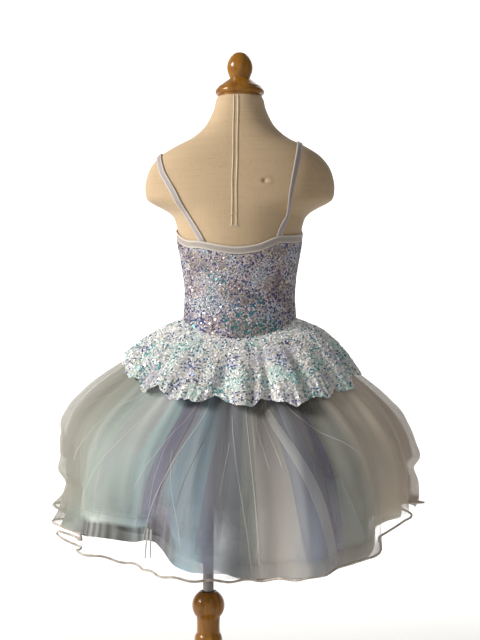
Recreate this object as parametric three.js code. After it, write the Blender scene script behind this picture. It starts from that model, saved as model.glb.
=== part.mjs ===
// A child's dance dress on a dress form: a camisole bodice and peplum of sequin cloth over a full tulle
// tutu skirt, worn by a limbless linen form on a pole and a turned wooden stand.
// Millimetres, +Z up. The origin is the centre of the stand's underside. +Y is the front of the dress and
// -Y its back. Angles round the dress start at +X and run through +Y (front), -X and -Y (back).
import * as THREE from "three";

const degrees = THREE.MathUtils.degToRad;

// ---- Driving dimensions ----

const SEAM_GAP = 0.3; // between pieces that are sewn or seated together
const BODY_BESIDE_POLE = 55; // the form stands this far beside the pole's axis, towards +X

const CLOTH_CLEAR_OF_FORM = 1.5;
const BODICE_EASE = 0.4; // the bodice stands this much further off the form than the straps
const BODICE_THICK = 1.6;
const BINDING_THICK = 2.2;
const BINDING_WIDE = 13;
const STRAP_WIDE = 12;
const STRAP_THICK = 1.6;
const PEPLUM_THICK = 1.6;
const TULLE_THICK = 1;
const TULLE_CLEAR_OF_FORM = 0.66; // its gathers are held in to the waist
const HEM_CORD_RADIUS = 1.5;

const WAIST_SEAM_Z = 779; // at the side seams
const WAIST_SEAM_DIP = { front: 20, back: 33 };
const CHEST_HALF_WIDTH = 108.5; // under the arms, where the bodice no longer follows the shoulder caps
const SECTION_POWER = 2.2; // 2 is an ellipse, more is squarer

const POLE_RADIUS = 9.5;
const POLE_HOLE_RADIUS = 11;
const POLE_FOOT_Z = 268;
const FLANGE = { discRadius: 30, discThick: 4, collarRadius: 14, collarTall: 22 };
const STAND_BALL = { radius: 28.5, z: 276.5 };
const BASE_TOP_Z = 22;

// Half width, half depth and centre of the form's body at each height.
const BODY_SECTIONS = [
  { z: 590, w: 92, d: 70, y: 0 },
  { z: 597, w: 106, d: 82, y: 0 },
  { z: 612, w: 114, d: 88, y: -1 },
  { z: 640, w: 119, d: 91, y: -2 },
  { z: 675, w: 117, d: 90, y: -2 },
  { z: 710, w: 109, d: 86, y: -1 },
  { z: 740, w: 100, d: 81, y: 1 },
  { z: 770, w: 95.5, d: 77.5, y: 3 },
  { z: 800, w: 93.5, d: 76, y: 4 },
  { z: 825, w: 93, d: 76, y: 4 },
  { z: 850, w: 94.5, d: 77, y: 3 },
  { z: 880, w: 99.5, d: 79.5, y: 2 },
  { z: 910, w: 105, d: 81.5, y: 0 },
  { z: 935, w: 108.5, d: 82, y: -1 },
  { z: 953, w: 114, d: 81.5, y: -2 },
  { z: 958, w: 118, d: 81, y: -2 },
  { z: 963, w: 123.5, d: 80.5, y: -2 },
  { z: 967.5, w: 131, d: 80, y: -2 },
  { z: 972, w: 139, d: 79, y: -2 },
  { z: 975.5, w: 146.5, d: 78.3, y: -2 },
  { z: 979, w: 153, d: 77.5, y: -2 },
  { z: 985, w: 161, d: 76, y: -2 },
  { z: 993, w: 164, d: 74, y: -2 },
  { z: 1007, w: 165, d: 70.5, y: -2 },
  { z: 1023, w: 162.5, d: 67, y: -1 },
  { z: 1038, w: 157.5, d: 63.5, y: 0 },
  { z: 1051, w: 149, d: 60, y: 1 },
  { z: 1063, w: 137.5, d: 57, y: 2 },
  { z: 1073, w: 122.5, d: 54, y: 3 },
  { z: 1082, w: 106, d: 52, y: 4 },
  { z: 1092, w: 86, d: 50, y: 5 },
  { z: 1105, w: 69, d: 47.5, y: 6 },
  { z: 1117, w: 58.5, d: 45, y: 7 },
  { z: 1131, w: 51, d: 43, y: 7.5 },
  { z: 1147, w: 44.5, d: 41, y: 8 },
  { z: 1159, w: 42, d: 40.3, y: 8 },
  { z: 1165, w: 38.8, d: 38.3, y: 8 },
];
const BODY_COLUMNS = 32;

// Height of the bodice's top edge, binding included, round the front and then the back.
const FRONT_EDGE = [
  { angle: 0, z: 926 },
  { angle: 10, z: 931 },
  { angle: 24, z: 943 },
  { angle: 40, z: 964 },
  { angle: 56, z: 985 },
  { angle: 66, z: 973 },
  { angle: 77, z: 960 },
  { angle: 90, z: 955 },
  { angle: 103, z: 960 },
  { angle: 114, z: 973 },
  { angle: 124, z: 985 },
  { angle: 140, z: 966 },
  { angle: 156, z: 948 },
  { angle: 170, z: 937 },
  { angle: 180, z: 934 },
];
const BACK_EDGE = [
  { angle: 180, z: 934 },
  { angle: 188, z: 931 },
  { angle: 198, z: 924 },
  { angle: 206, z: 919 },
  { angle: 220, z: 912.5 },
  { angle: 234, z: 911 },
  { angle: 256, z: 903.8 },
  { angle: 270, z: 900.5 },
  { angle: 285, z: 904 },
  { angle: 300, z: 914 },
  { angle: 309, z: 919.5 },
  { angle: 330, z: 921.5 },
  { angle: 360, z: 926 },
];

// Each strap runs over the shoulder in planes through the middle of the shoulder: angle is in that plane,
// from the back (over 180) over the top (90) to the front (under 0); x is where it lies; lift holds it off
// the form and twist turns it on edge.
const STRAP_CENTRE_Z = 1000;
const LEFT_STRAP = [
  { angle: 230.5, x: -61.5, lift: 0, twist: 0 },
  { angle: 225.4, x: -73.5, lift: 0, twist: 0 },
  { angle: 218.2, x: -86, lift: 0, twist: 0 },
  { angle: 204.2, x: -97.3, lift: 0, twist: 0 },
  { angle: 188.8, x: -107.7, lift: 0, twist: 0 },
  { angle: 168.2, x: -119.8, lift: 0, twist: 0 },
  { angle: 142.7, x: -131, lift: 0, twist: 0 },
  { angle: 112, x: -137.6, lift: 0, twist: 0 },
  { angle: 90, x: -139, lift: 0, twist: 0 },
  { angle: 45, x: -118, lift: 0, twist: 0 },
  { angle: -10.2, x: -63, lift: 0, twist: 0 },
];
const RIGHT_STRAP = [
  { angle: 229.9, x: 70, lift: 0, twist: 0 },
  { angle: 217, x: 81.5, lift: 3, twist: -22 },
  { angle: 193, x: 88, lift: 4, twist: -32 },
  { angle: 165, x: 94, lift: 4, twist: -30 },
  { angle: 145, x: 98, lift: 3, twist: -22 },
  { angle: 114, x: 103.5, lift: 1, twist: -8 },
  { angle: 90, x: 104, lift: 0, twist: 0 },
  { angle: 45, x: 93, lift: 0, twist: 0 },
  { angle: -11.7, x: 63, lift: 0, twist: 0 },
];

// How far a skirt stands out from the body and hangs below its own waist, down its length: at its left
// side, its right side, and its back and front.
const PEPLUM_FALL = [
  { down: 0, leftOut: 0, leftDrop: 0, rightOut: 0, rightDrop: 0, backOut: 0, backDrop: 0 },
  { down: 0.2, leftOut: 22, leftDrop: 9, rightOut: 23, rightDrop: 9, backOut: 20, backDrop: 20 },
  { down: 0.4, leftOut: 43, leftDrop: 20, rightOut: 45, rightDrop: 21, backOut: 39, backDrop: 41 },
  { down: 0.6, leftOut: 63, leftDrop: 33, rightOut: 65, rightDrop: 39, backOut: 57, backDrop: 61 },
  { down: 0.8, leftOut: 81, leftDrop: 47, rightOut: 83, rightDrop: 60, backOut: 75, backDrop: 81 },
  { down: 1, leftOut: 99, leftDrop: 61, rightOut: 99, rightDrop: 83, backOut: 92, backDrop: 100 },
];
const TUTU_FALL = [
  { down: 0, leftOut: 0, leftDrop: 0, rightOut: 0, rightDrop: 0, backOut: 0, backDrop: 0 },
  { down: 0.12, leftOut: 43, leftDrop: 29, rightOut: 40, rightDrop: 34, backOut: 32, backDrop: 41 },
  { down: 0.24, leftOut: 86, leftDrop: 57, rightOut: 79, rightDrop: 67, backOut: 62, backDrop: 82 },
  { down: 0.35, leftOut: 131, leftDrop: 86, rightOut: 117, rightDrop: 97, backOut: 94, backDrop: 120 },
  { down: 0.46, leftOut: 171, leftDrop: 118, rightOut: 151, rightDrop: 127, backOut: 130, backDrop: 153 },
  { down: 0.56, leftOut: 199, leftDrop: 154, rightOut: 176, rightDrop: 158, backOut: 160, backDrop: 185 },
  { down: 0.67, leftOut: 209, leftDrop: 195, rightOut: 194, rightDrop: 196, backOut: 184, backDrop: 223 },
  { down: 0.78, leftOut: 208, leftDrop: 240, rightOut: 201, rightDrop: 236, backOut: 199, backDrop: 264 },
  { down: 0.89, leftOut: 207, leftDrop: 285, rightOut: 202, rightDrop: 277, backOut: 210, backDrop: 307 },
  { down: 1, leftOut: 215, leftDrop: 328, rightOut: 198, rightDrop: 315, backOut: 217, backDrop: 350 },
];

// The tulle layers, outermost first: where each starts below the waist seam, its share of the full
// length, how far inside the outermost layer its hem hangs, the depth of its folds there, and its mesh.
const TUTU_LAYERS = [
  { name: "tutu_top_layer", below: 7, length: 1, inset: 0, fold: 25, columns: 98, rows: 8 },
  { name: "tutu_middle_layer", below: 13, length: 0.96, inset: 13, fold: 20, columns: 84, rows: 6 },
  { name: "tutu_under_layer", below: 19, length: 0.92, inset: 27, fold: 15, columns: 70, rows: 5 },
];
const TUTU_FOLDS = 14;
const PEPLUM = { folds: 12, fold: 12, lobe: 15, columns: 90, rows: 5 };

// The peplum's hem is uneven: how much longer (or, in a notch, shorter) it is, and over what width, at each
// place round it in degrees from the middle of the back towards the right.
const PEPLUM_LOBES = [
  { turn: -72, wide: 9, longer: 14 },
  { turn: -54, wide: 8, longer: 24 },
  { turn: -40, wide: 4, longer: 4 },
  { turn: -25, wide: 8, longer: 5 },
  { turn: -9, wide: 5, longer: -8 },
  { turn: 1, wide: 5, longer: 3 },
  { turn: 15, wide: 5, longer: -5 },
  { turn: 27, wide: 7, longer: 6 },
  { turn: 46, wide: 8, longer: 11 },
  { turn: 66, wide: 9, longer: 12 },
];

// ---- Small tools ----

// A smooth curve through a table's rows that never overshoots them.
function curveThrough(rows, along, value) {
  const x = rows.map((row) => row[along]);
  const y = rows.map((row) => row[value]);
  const last = x.length - 1;
  const slope = x.slice(1).map((next, i) => (y[i + 1] - y[i]) / (next - x[i]));
  const tangent = x.map((_, i) => {
    if (i === 0) return slope[0];
    if (i === last) return slope[last - 1];
    const [before, after] = [slope[i - 1], slope[i]];
    return before * after <= 0 ? 0 : (2 * before * after) / (before + after);
  });
  return (at) => {
    const clamped = THREE.MathUtils.clamp(at, x[0], x[last]);
    let i = 0;
    while (i < last - 1 && clamped > x[i + 1]) i += 1;
    const step = x[i + 1] - x[i];
    const s = (clamped - x[i]) / step;
    const bend = y[i] * (1 + 2 * s) * (1 - s) ** 2 + y[i + 1] * s * s * (3 - 2 * s);
    return bend + step * s * (1 - s) * (tangent[i] * (1 - s) - tangent[i + 1] * s);
  };
}

const signedPower = (value, power) => Math.sign(value) * Math.abs(value) ** power;

function material(name, colour, roughness, metalness = 0) {
  return new THREE.MeshStandardMaterial({ name, color: colour, roughness, metalness });
}

function mesh(name, geometry, finish) {
  const made = new THREE.Mesh(geometry, finish);
  made.name = name;
  return made;
}

// A closed surface from points and triangles, turned so that its faces point out.
function closedGeometry(points, triangles) {
  let volume = 0;
  const [a, b, c] = [new THREE.Vector3(), new THREE.Vector3(), new THREE.Vector3()];
  for (const [i, j, k] of triangles) {
    volume += a.copy(points[i]).dot(b.copy(points[j]).cross(c.copy(points[k])));
  }
  const faces = volume < 0 ? triangles.map(([i, j, k]) => [i, k, j]) : triangles;
  const geometry = new THREE.BufferGeometry().setFromPoints(points);
  geometry.setIndex(faces.flat());
  geometry.computeVertexNormals();
  return geometry;
}

// A cloth wall over a grid: pointAt(across, down, side) gives the inside (0) and outside (1) of the wall.
function clothWall(columns, rows, pointAt, isRing) {
  const points = [];
  const across = isRing ? columns : columns + 1;
  for (let side = 0; side < 2; side += 1) {
    for (let i = 0; i < across; i += 1) {
      for (let j = 0; j <= rows; j += 1) points.push(pointAt(i / columns, j / rows, side));
    }
  }
  const at = (side, i, j) => (side * across + (i % across)) * (rows + 1) + j;
  const triangles = [];
  const quad = (p, q, r, s) => triangles.push([p, q, r], [p, r, s]);
  for (let i = 0; i < columns; i += 1) {
    for (let j = 0; j < rows; j += 1) {
      quad(at(0, i, j), at(0, i + 1, j), at(0, i + 1, j + 1), at(0, i, j + 1));
      quad(at(1, i, j), at(1, i, j + 1), at(1, i + 1, j + 1), at(1, i + 1, j));
    }
    quad(at(0, i, 0), at(1, i, 0), at(1, i + 1, 0), at(0, i + 1, 0));
    quad(at(0, i, rows), at(0, i + 1, rows), at(1, i + 1, rows), at(1, i, rows));
  }
  for (let j = 0; j < rows && !isRing; j += 1) {
    quad(at(0, 0, j), at(0, 0, j + 1), at(1, 0, j + 1), at(1, 0, j));
    quad(at(0, columns, j), at(1, columns, j), at(1, columns, j + 1), at(0, columns, j + 1));
  }
  return closedGeometry(points, triangles);
}

// A turned piece from [radius, height] pairs that start and end on its axis.
function turned(profile, sides) {
  const outline = profile.map(([radius, height]) => new THREE.Vector2(radius, height));
  return new THREE.LatheGeometry(outline, sides).rotateX(Math.PI / 2);
}

// [radius, height] pairs on a ball, from one angle above its middle to another.
function ballProfile({ radius, z }, fromDegrees, toDegrees, steps) {
  return Array.from({ length: steps + 1 }, (_, i) => {
    const angle = degrees(fromDegrees + ((toDegrees - fromDegrees) * i) / steps);
    return [radius * Math.cos(angle), z + radius * Math.sin(angle)];
  });
}

// ---- The form's body ----

const bodyWidth = curveThrough(BODY_SECTIONS, "z", "w");
const bodyDepth = curveThrough(BODY_SECTIONS, "z", "d");
const bodyCentre = curveThrough(BODY_SECTIONS, "z", "y");

// Under 1 inside the body, 1 on its surface.
function bodyMeasure(x, y, z) {
  const across = Math.abs(x / bodyWidth(z)) ** SECTION_POWER;
  return across + Math.abs((y - bodyCentre(z)) / bodyDepth(z)) ** SECTION_POWER;
}

function bodyNormal(p) {
  const h = 0.05;
  return new THREE.Vector3(
    bodyMeasure(p.x + h, p.y, p.z) - bodyMeasure(p.x - h, p.y, p.z),
    bodyMeasure(p.x, p.y + h, p.z) - bodyMeasure(p.x, p.y - h, p.z),
    bodyMeasure(p.x, p.y, p.z + h) - bodyMeasure(p.x, p.y, p.z - h),
  ).normalize();
}

const offBody = (p, distance) => p.clone().addScaledVector(bodyNormal(p), distance);

// The point of the body's surface where a thread of the bodice at this angle passes this height.
function bodyPoint(angle, z, mostReach = Infinity) {
  const power = 2 / SECTION_POWER;
  const x = Math.min(bodyWidth(z), mostReach) * signedPower(Math.cos(angle), power);
  const left = Math.max(0, 1 - Math.abs(x / bodyWidth(z)) ** SECTION_POWER);
  const y = bodyCentre(z) + Math.sign(Math.sin(angle)) * bodyDepth(z) * left ** (1 / SECTION_POWER);
  return new THREE.Vector3(x, y, z);
}

function formBody() {
  const rings = BODY_SECTIONS.map(({ z }) =>
    Array.from({ length: BODY_COLUMNS }, (_, i) => bodyPoint((2 * Math.PI * i) / BODY_COLUMNS, z)),
  );
  const points = rings.flat();
  const at = (ring, i) => ring * BODY_COLUMNS + (i % BODY_COLUMNS);
  const triangles = [];
  const lastRing = rings.length - 1;
  for (let i = 0; i < BODY_COLUMNS; i += 1) {
    for (let ring = 0; ring < lastRing; ring += 1) {
      triangles.push([at(ring, i), at(ring, i + 1), at(ring + 1, i + 1)]);
      triangles.push([at(ring, i), at(ring + 1, i + 1), at(ring + 1, i)]);
    }
  }
  for (const [ring, z, flip] of [[0, BODY_SECTIONS[0].z, true], [lastRing, BODY_SECTIONS.at(-1).z, false]]) {
    const middle = points.push(new THREE.Vector3(0, bodyCentre(z), z)) - 1;
    for (let i = 0; i < BODY_COLUMNS; i += 1) {
      const fan = [middle, at(ring, i), at(ring, i + 1)];
      triangles.push(flip ? fan.reverse() : fan);
    }
  }
  return closedGeometry(points, triangles);
}

// ---- Bodice, binding and straps ----

function waistSeamZ(angle) {
  const side = Math.sin(angle);
  return WAIST_SEAM_Z - (side > 0 ? WAIST_SEAM_DIP.front : WAIST_SEAM_DIP.back) * side * side;
}

const frontEdge = curveThrough(FRONT_EDGE, "angle", "z");
const backEdge = curveThrough(BACK_EDGE, "angle", "z");

// A half of the bodice, or of its binding, between two heights that follow the angle.
function bodiceHalf(half, columns, rows, lowZ, highZ, thick) {
  const seam = SEAM_GAP / 2 / CHEST_HALF_WIDTH;
  const [first, last] = half === "front" ? [0, Math.PI] : [Math.PI, 2 * Math.PI];
  return clothWall(columns, rows, (across, down, side) => {
    const angle = THREE.MathUtils.lerp(first + seam, last - seam, across);
    const z = THREE.MathUtils.lerp(highZ(angle), lowZ(angle), down);
    const clear = CLOTH_CLEAR_OF_FORM + BODICE_EASE;
    return offBody(bodyPoint(angle, z, CHEST_HALF_WIDTH), clear + side * thick);
  }, false);
}

// How much taller than wide a strip is where the edge it follows slopes.
function edgeSlant(edge, angle) {
  const step = degrees(2);
  const rise = edge(THREE.MathUtils.radToDeg(angle + step)) - edge(THREE.MathUtils.radToDeg(angle - step));
  const slope = rise / (2 * step * CHEST_HALF_WIDTH);
  return Math.min(1.7, Math.hypot(1, slope));
}

function strap(rows) {
  const columnOf = (value) => curveThrough([...rows].reverse(), "angle", value);
  const [xAt, liftAt, twistAt] = ["x", "lift", "twist"].map(columnOf);
  const [first, last] = [rows[0].angle, rows.at(-1).angle];
  const onBody = (angle) => {
    const x = xAt(angle);
    const [dy, dz] = [Math.cos(degrees(angle)), Math.sin(degrees(angle))];
    let [inside, outside] = [0, 220];
    while (outside - inside > 1e-3) {
      const reach = (inside + outside) / 2;
      const isInside = bodyMeasure(x, reach * dy, STRAP_CENTRE_Z + reach * dz) < 1;
      if (isInside) inside = reach;
      else outside = reach;
    }
    return new THREE.Vector3(x, inside * dy, STRAP_CENTRE_Z + inside * dz);
  };
  return clothWall(32, 1, (along, across, side) => {
    const angle = THREE.MathUtils.lerp(first, last, along);
    const centre = onBody(angle);
    const normal = bodyNormal(centre);
    const forward = onBody(angle - 0.5).sub(onBody(angle + 0.5)).normalize();
    const sideways = new THREE.Vector3().crossVectors(forward, normal).normalize();
    normal.crossVectors(sideways, forward).normalize();
    const nearEnd = THREE.MathUtils.smoothstep(Math.abs(along - 0.5), 0.42, 0.5);
    sideways.addScaledVector(forward, (-nearEnd * forward.x) / sideways.x);
    const twist = degrees(twistAt(angle));
    const widthways = sideways.clone().multiplyScalar(Math.cos(twist)).addScaledVector(normal, Math.sin(twist));
    const outwards = normal.clone().multiplyScalar(Math.cos(twist)).addScaledVector(sideways, -Math.sin(twist));
    return centre
      .addScaledVector(normal, CLOTH_CLEAR_OF_FORM + liftAt(angle))
      .addScaledVector(widthways, (across - 0.5) * STRAP_WIDE)
      .addScaledVector(outwards, side * STRAP_THICK);
  }, false);
}

// ---- Peplum and tutu ----

function fall(rows) {
  const at = (name) => curveThrough(rows, "down", name);
  const [leftOut, leftDrop, rightOut, rightDrop] = ["leftOut", "leftDrop", "rightOut", "rightDrop"].map(at);
  const [backOut, backDrop] = ["backOut", "backDrop"].map(at);
  return (down, angle) => {
    const side = Math.cos(angle) ** 2;
    const right = THREE.MathUtils.smoothstep(Math.cos(angle), -0.5, 0.5);
    const sideOut = THREE.MathUtils.lerp(leftOut(down), rightOut(down), right);
    const sideDrop = THREE.MathUtils.lerp(leftDrop(down), rightDrop(down), right);
    return {
      out: THREE.MathUtils.lerp(backOut(down), sideOut, side),
      drop: THREE.MathUtils.lerp(backDrop(down), sideDrop, side),
    };
  };
}

// Folds round the tutu, from -1 in a hollow to 1 on a crest, of uneven width and depth.
function tutuFold(angle) {
  const phase = TUTU_FOLDS * (angle + 0.1 * Math.sin(2 * angle + 0.6) + 0.05 * Math.sin(3 * angle + 2.1));
  return Math.cos(phase) * (0.82 + 0.18 * Math.sin(3 * angle + 0.8));
}

// The peplum's hollows rest on the tutu, so they are shallower than its crests.
function peplumFold(angle) {
  const phase = PEPLUM.folds * (angle + 0.07 * Math.sin(2 * angle + 1.4) + 0.04 * Math.sin(5 * angle + 0.3));
  const wave = Math.cos(phase) * (0.8 + 0.2 * Math.sin(2 * angle + 2.6));
  return wave > 0 ? wave : 0.15 * wave;
}

// How much longer the peplum is at an angle than its even length.
function peplumLobes(angle) {
  const turn = THREE.MathUtils.radToDeg(angle) - 270;
  return PEPLUM_LOBES.reduce((sum, lobe) => {
    const off = THREE.MathUtils.euclideanModulo(turn - lobe.turn + 180, 360) - 180;
    return sum + lobe.longer * Math.exp(-((off / lobe.wide) ** 2));
  }, 0);
}

// A skirt's outer face. It starts on the body, a little below the waist seam, and stands out in folds
// that deepen towards its hem, whose lobes hang lower under the crests.
function skirtPoint(shape, angle, down) {
  const { fallAt, foldAt, lobesAt, below, length, inset, fold, foldGrowth, lobe, clear, thick } = shape;
  const start = waistSeamZ(angle) - below;
  const waist = offBody(bodyPoint(angle, start), clear + thick);
  const along = down * length;
  const here = fallAt(along, angle);
  const ahead = fallAt(Math.min(1, along + 0.02), angle);
  const behind = fallAt(Math.max(0, along - 0.02), angle);
  const [out, drop] = [ahead.out - behind.out, ahead.drop - behind.drop];
  const slant = Math.hypot(out, drop);
  const depth = fold * down ** foldGrowth * foldAt(angle) - inset * down;
  const longer = lobesAt ? lobesAt(angle) * down ** 3 : 0;
  const reach = here.out + (depth * drop + longer * out) / slant;
  const sag = lobe * down ** 3 * Math.max(0, foldAt(angle));
  return new THREE.Vector3(
    waist.x + reach * Math.cos(angle),
    waist.y + reach * Math.sin(angle),
    start - here.drop + (depth * out - longer * drop) / slant - sag,
  );
}

function skirtNormal(shape, angle, down) {
  const [before, after] = [Math.max(0, down - 0.01), Math.min(1, down + 0.01)];
  const round = skirtPoint(shape, angle + 0.004, down).sub(skirtPoint(shape, angle - 0.004, down));
  const hemward = skirtPoint(shape, angle, after).sub(skirtPoint(shape, angle, before));
  return hemward.cross(round).normalize();
}

function skirt(shape) {
  return clothWall(shape.columns, shape.rows, (across, down, side) => {
    const angle = 2 * Math.PI * across;
    const point = skirtPoint(shape, angle, down);
    return point.addScaledVector(skirtNormal(shape, angle, down), -side * shape.thick);
  }, true);
}

// A cord of square section round a skirt's hem, on edge, just below the cloth.
function hemCord(shape) {
  const below = HEM_CORD_RADIUS + 1.4 * SEAM_GAP;
  const corners = [[1, 0], [0, 1], [-1, 0], [0, -1]];
  const points = [];
  const triangles = [];
  for (let i = 0; i < shape.columns; i += 1) {
    const angle = (2 * Math.PI * i) / shape.columns;
    const middle = skirtPoint(shape, angle, 1).addScaledVector(skirtNormal(shape, angle, 1), -shape.thick / 2);
    middle.z -= below;
    const outwards = new THREE.Vector3(Math.cos(angle), Math.sin(angle), 0);
    for (const [out, up] of corners) {
      const corner = middle.clone().addScaledVector(outwards, out * HEM_CORD_RADIUS);
      corner.z += up * HEM_CORD_RADIUS;
      points.push(corner);
    }
    for (let k = 0; k < corners.length; k += 1) {
      const at = (turn, corner) => ((i + turn) % shape.columns) * corners.length + (corner % corners.length);
      triangles.push([at(0, k), at(1, k), at(1, k + 1)], [at(0, k), at(1, k + 1), at(0, k + 1)]);
    }
  }
  return closedGeometry(points, triangles);
}

// ---- Finishes ----

const linen = material("linen", 0xd3b98d, 0.9);
const turnedWood = material("turned_wood", 0xb5742a, 0.35);
const chrome = material("chrome", 0x9a9aa2, 0.2, 1);
const sequinCloth = material("sequin_cloth", 0xc9cdd8, 0.35, 0.2);
const bindingElastic = material("binding_elastic", 0xd6cbc6, 0.7);
const whiteTulle = material("white_tulle", 0xb2aea6, 0.8);
const mintTulle = material("mint_tulle", 0x9aada8, 0.8);
const lavenderTulle = material("lavender_tulle", 0x8f8a9c, 0.8);
const hemSatin = material("hem_satin", 0xe2d9d0, 0.5);

// ---- The stand, up to the form ----

const object = new THREE.Group();

const base = [[0, 0], [163, 0], [170, 5], [172, 12], [168, 19], [158, BASE_TOP_Z], [0, BASE_TOP_Z]];
object.add(mesh("stand_base", turned(base, 32), turnedWood));

const postFoot = [
  [20.3, 253], [19.8, 241], [20.3, 229], [23.5, 223], [24.5, 215], [26, 155], [29, 80], [31, 58],
  [38, 44], [48, 36], [50, 29], [50, BASE_TOP_Z + SEAM_GAP], [0, BASE_TOP_Z + SEAM_GAP],
];
const post = [
  [0, POLE_FOOT_Z],
  [POLE_HOLE_RADIUS, POLE_FOOT_Z],
  [POLE_HOLE_RADIUS, STAND_BALL.z + STAND_BALL.radius * Math.sin(degrees(60)) - 1],
  ...ballProfile(STAND_BALL, 60, -44, 7),
  ...postFoot,
];
object.add(mesh("stand_post", turned(post.reverse(), 20), turnedWood));

const formBottomZ = BODY_SECTIONS[0].z;
const flangeTopZ = formBottomZ - SEAM_GAP;
const discBottomZ = flangeTopZ - FLANGE.discThick;
const collarBottomZ = discBottomZ - FLANGE.collarTall;
const flange = [
  [0, collarBottomZ],
  [FLANGE.collarRadius, collarBottomZ],
  [FLANGE.collarRadius, discBottomZ],
  [FLANGE.discRadius, discBottomZ],
  [FLANGE.discRadius, flangeTopZ],
  [0, flangeTopZ],
];
object.add(mesh("pole_flange", turned(flange, 20), chrome));

const [poleBottomZ, poleTopZ] = [POLE_FOOT_Z + SEAM_GAP, collarBottomZ - SEAM_GAP];
const pole = [[0, poleBottomZ], [POLE_RADIUS, poleBottomZ], [POLE_RADIUS, poleTopZ], [0, poleTopZ]];
object.add(mesh("pole", turned(pole, 20), chrome));

// ---- The form and the dress on it ----

const dressed = new THREE.Group();
dressed.position.x = BODY_BESIDE_POLE;
object.add(dressed);

dressed.add(mesh("form_body", formBody(), linen));

const neckTop = BODY_SECTIONS.at(-1);
const capZ = neckTop.z + SEAM_GAP;
const finial = [
  [0, capZ], [38.6, capZ], [39, capZ + 3.4], [41.2, capZ + 5.2], [42.6, capZ + 9.5], [42.2, capZ + 12.5],
  [39.7, capZ + 16.8], [29.2, capZ + 24.4], [20, capZ + 31], [17.4, capZ + 33.2], [19.5, capZ + 38],
  [21.6, capZ + 44.3], [22.6, capZ + 50.8], [22, capZ + 57.5], [19.6, capZ + 64.4], [15.6, capZ + 71],
  [9.6, capZ + 76.4], [4, capZ + 78.4], [0, capZ + 78.8],
];
const neckCap = mesh("neck_cap", turned(finial, 24), turnedWood);
neckCap.position.y = neckTop.y;
dressed.add(neckCap);

const halves = [
  { half: "front", edge: frontEdge, columns: 32, rows: 5 },
  { half: "back", edge: backEdge, columns: 24, rows: 4 },
];
for (const { half, edge, columns, rows } of halves) {
  const edgeZ = (angle) => edge(THREE.MathUtils.radToDeg(angle));
  const bindingLow = (angle) => edgeZ(angle) - BINDING_WIDE * edgeSlant(edge, angle);
  const bodiceHigh = (angle) => bindingLow(angle) - 1.8 * SEAM_GAP * edgeSlant(edge, angle);
  const bodiceLow = (angle) => waistSeamZ(angle) + SEAM_GAP;
  const panel = bodiceHalf(half, columns, rows, bodiceLow, bodiceHigh, BODICE_THICK);
  dressed.add(mesh(`bodice_${half}`, panel, sequinCloth));
  const binding = bodiceHalf(half, columns, 1, bindingLow, edgeZ, BINDING_THICK);
  dressed.add(mesh(`binding_${half}`, binding, bindingElastic));
}
dressed.add(mesh("strap_left", strap(LEFT_STRAP), bindingElastic));
dressed.add(mesh("strap_right", strap(RIGHT_STRAP), bindingElastic));

const peplum = {
  fallAt: fall(PEPLUM_FALL), foldAt: peplumFold, lobesAt: peplumLobes, foldGrowth: 1.4, below: 0, length: 1,
  inset: 0, clear: CLOTH_CLEAR_OF_FORM, thick: PEPLUM_THICK, ...PEPLUM,
};
dressed.add(mesh("peplum", skirt(peplum), sequinCloth));

const tutuFinish = [whiteTulle, mintTulle, lavenderTulle];
const tutuFall = fall(TUTU_FALL);
const layers = TUTU_LAYERS.map((layer) => ({
  fallAt: tutuFall, foldAt: tutuFold, foldGrowth: 1.8, lobe: 0, clear: TULLE_CLEAR_OF_FORM,
  thick: TULLE_THICK, ...layer,
}));
layers.forEach((layer, i) => dressed.add(mesh(layer.name, skirt(layer), tutuFinish[i])));
dressed.add(mesh("tutu_hem_cord", hemCord(layers[0]), hemSatin));

export default object;
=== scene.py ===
"""A child's dance dress on a dress form: a camisole bodice and peplum of sequin cloth over a full tulle
tutu, worn by a limbless linen form on a pole and a turned wooden stand.

Sizes are in millimetres until a piece is made. +Y is the front of the dress and -Y its back. Angles round
the dress start at +X and run through +Y (front), -X and -Y (back).
"""
import math

import bmesh
import bpy
import numpy as np
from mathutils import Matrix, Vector


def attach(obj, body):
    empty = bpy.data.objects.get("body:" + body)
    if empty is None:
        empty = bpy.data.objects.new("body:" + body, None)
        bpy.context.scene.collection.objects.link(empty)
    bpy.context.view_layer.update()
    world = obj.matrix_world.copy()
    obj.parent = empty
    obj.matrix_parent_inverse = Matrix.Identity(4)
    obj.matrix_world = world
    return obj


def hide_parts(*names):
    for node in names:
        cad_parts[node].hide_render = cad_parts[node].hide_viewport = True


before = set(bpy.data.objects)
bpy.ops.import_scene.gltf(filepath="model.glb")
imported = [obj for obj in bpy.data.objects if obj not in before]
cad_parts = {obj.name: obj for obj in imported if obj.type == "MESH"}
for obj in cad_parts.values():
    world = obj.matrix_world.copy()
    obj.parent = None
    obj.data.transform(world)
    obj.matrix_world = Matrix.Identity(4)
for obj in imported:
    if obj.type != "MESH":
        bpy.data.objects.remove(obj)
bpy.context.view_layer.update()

# ---- Sizes ----

BODY_BESIDE_POLE = 55
CLOTH_CLEAR_OF_FORM = 1.5
BODICE_CLEAR = CLOTH_CLEAR_OF_FORM + 0.4
BODICE_THICK = 1.6
BINDING_WIDE = 13
BINDING_THICK = 2.2
STRAP_WIDE = 11
TULLE_CLEAR_OF_FORM = 0.66
SEQUIN_WIDE = 3.3
HEM_CORD_RADIUS = 2.0

WAIST_SEAM_Z = 779
WAIST_SEAM_DIP_FRONT = 20
WAIST_SEAM_DIP_BACK = 33
CHEST_HALF_WIDTH = 108.5
SECTION_POWER = 2.2


def table(columns, *rows):
    names = columns.split()
    return [dict(zip(names, row)) for row in rows]


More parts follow.
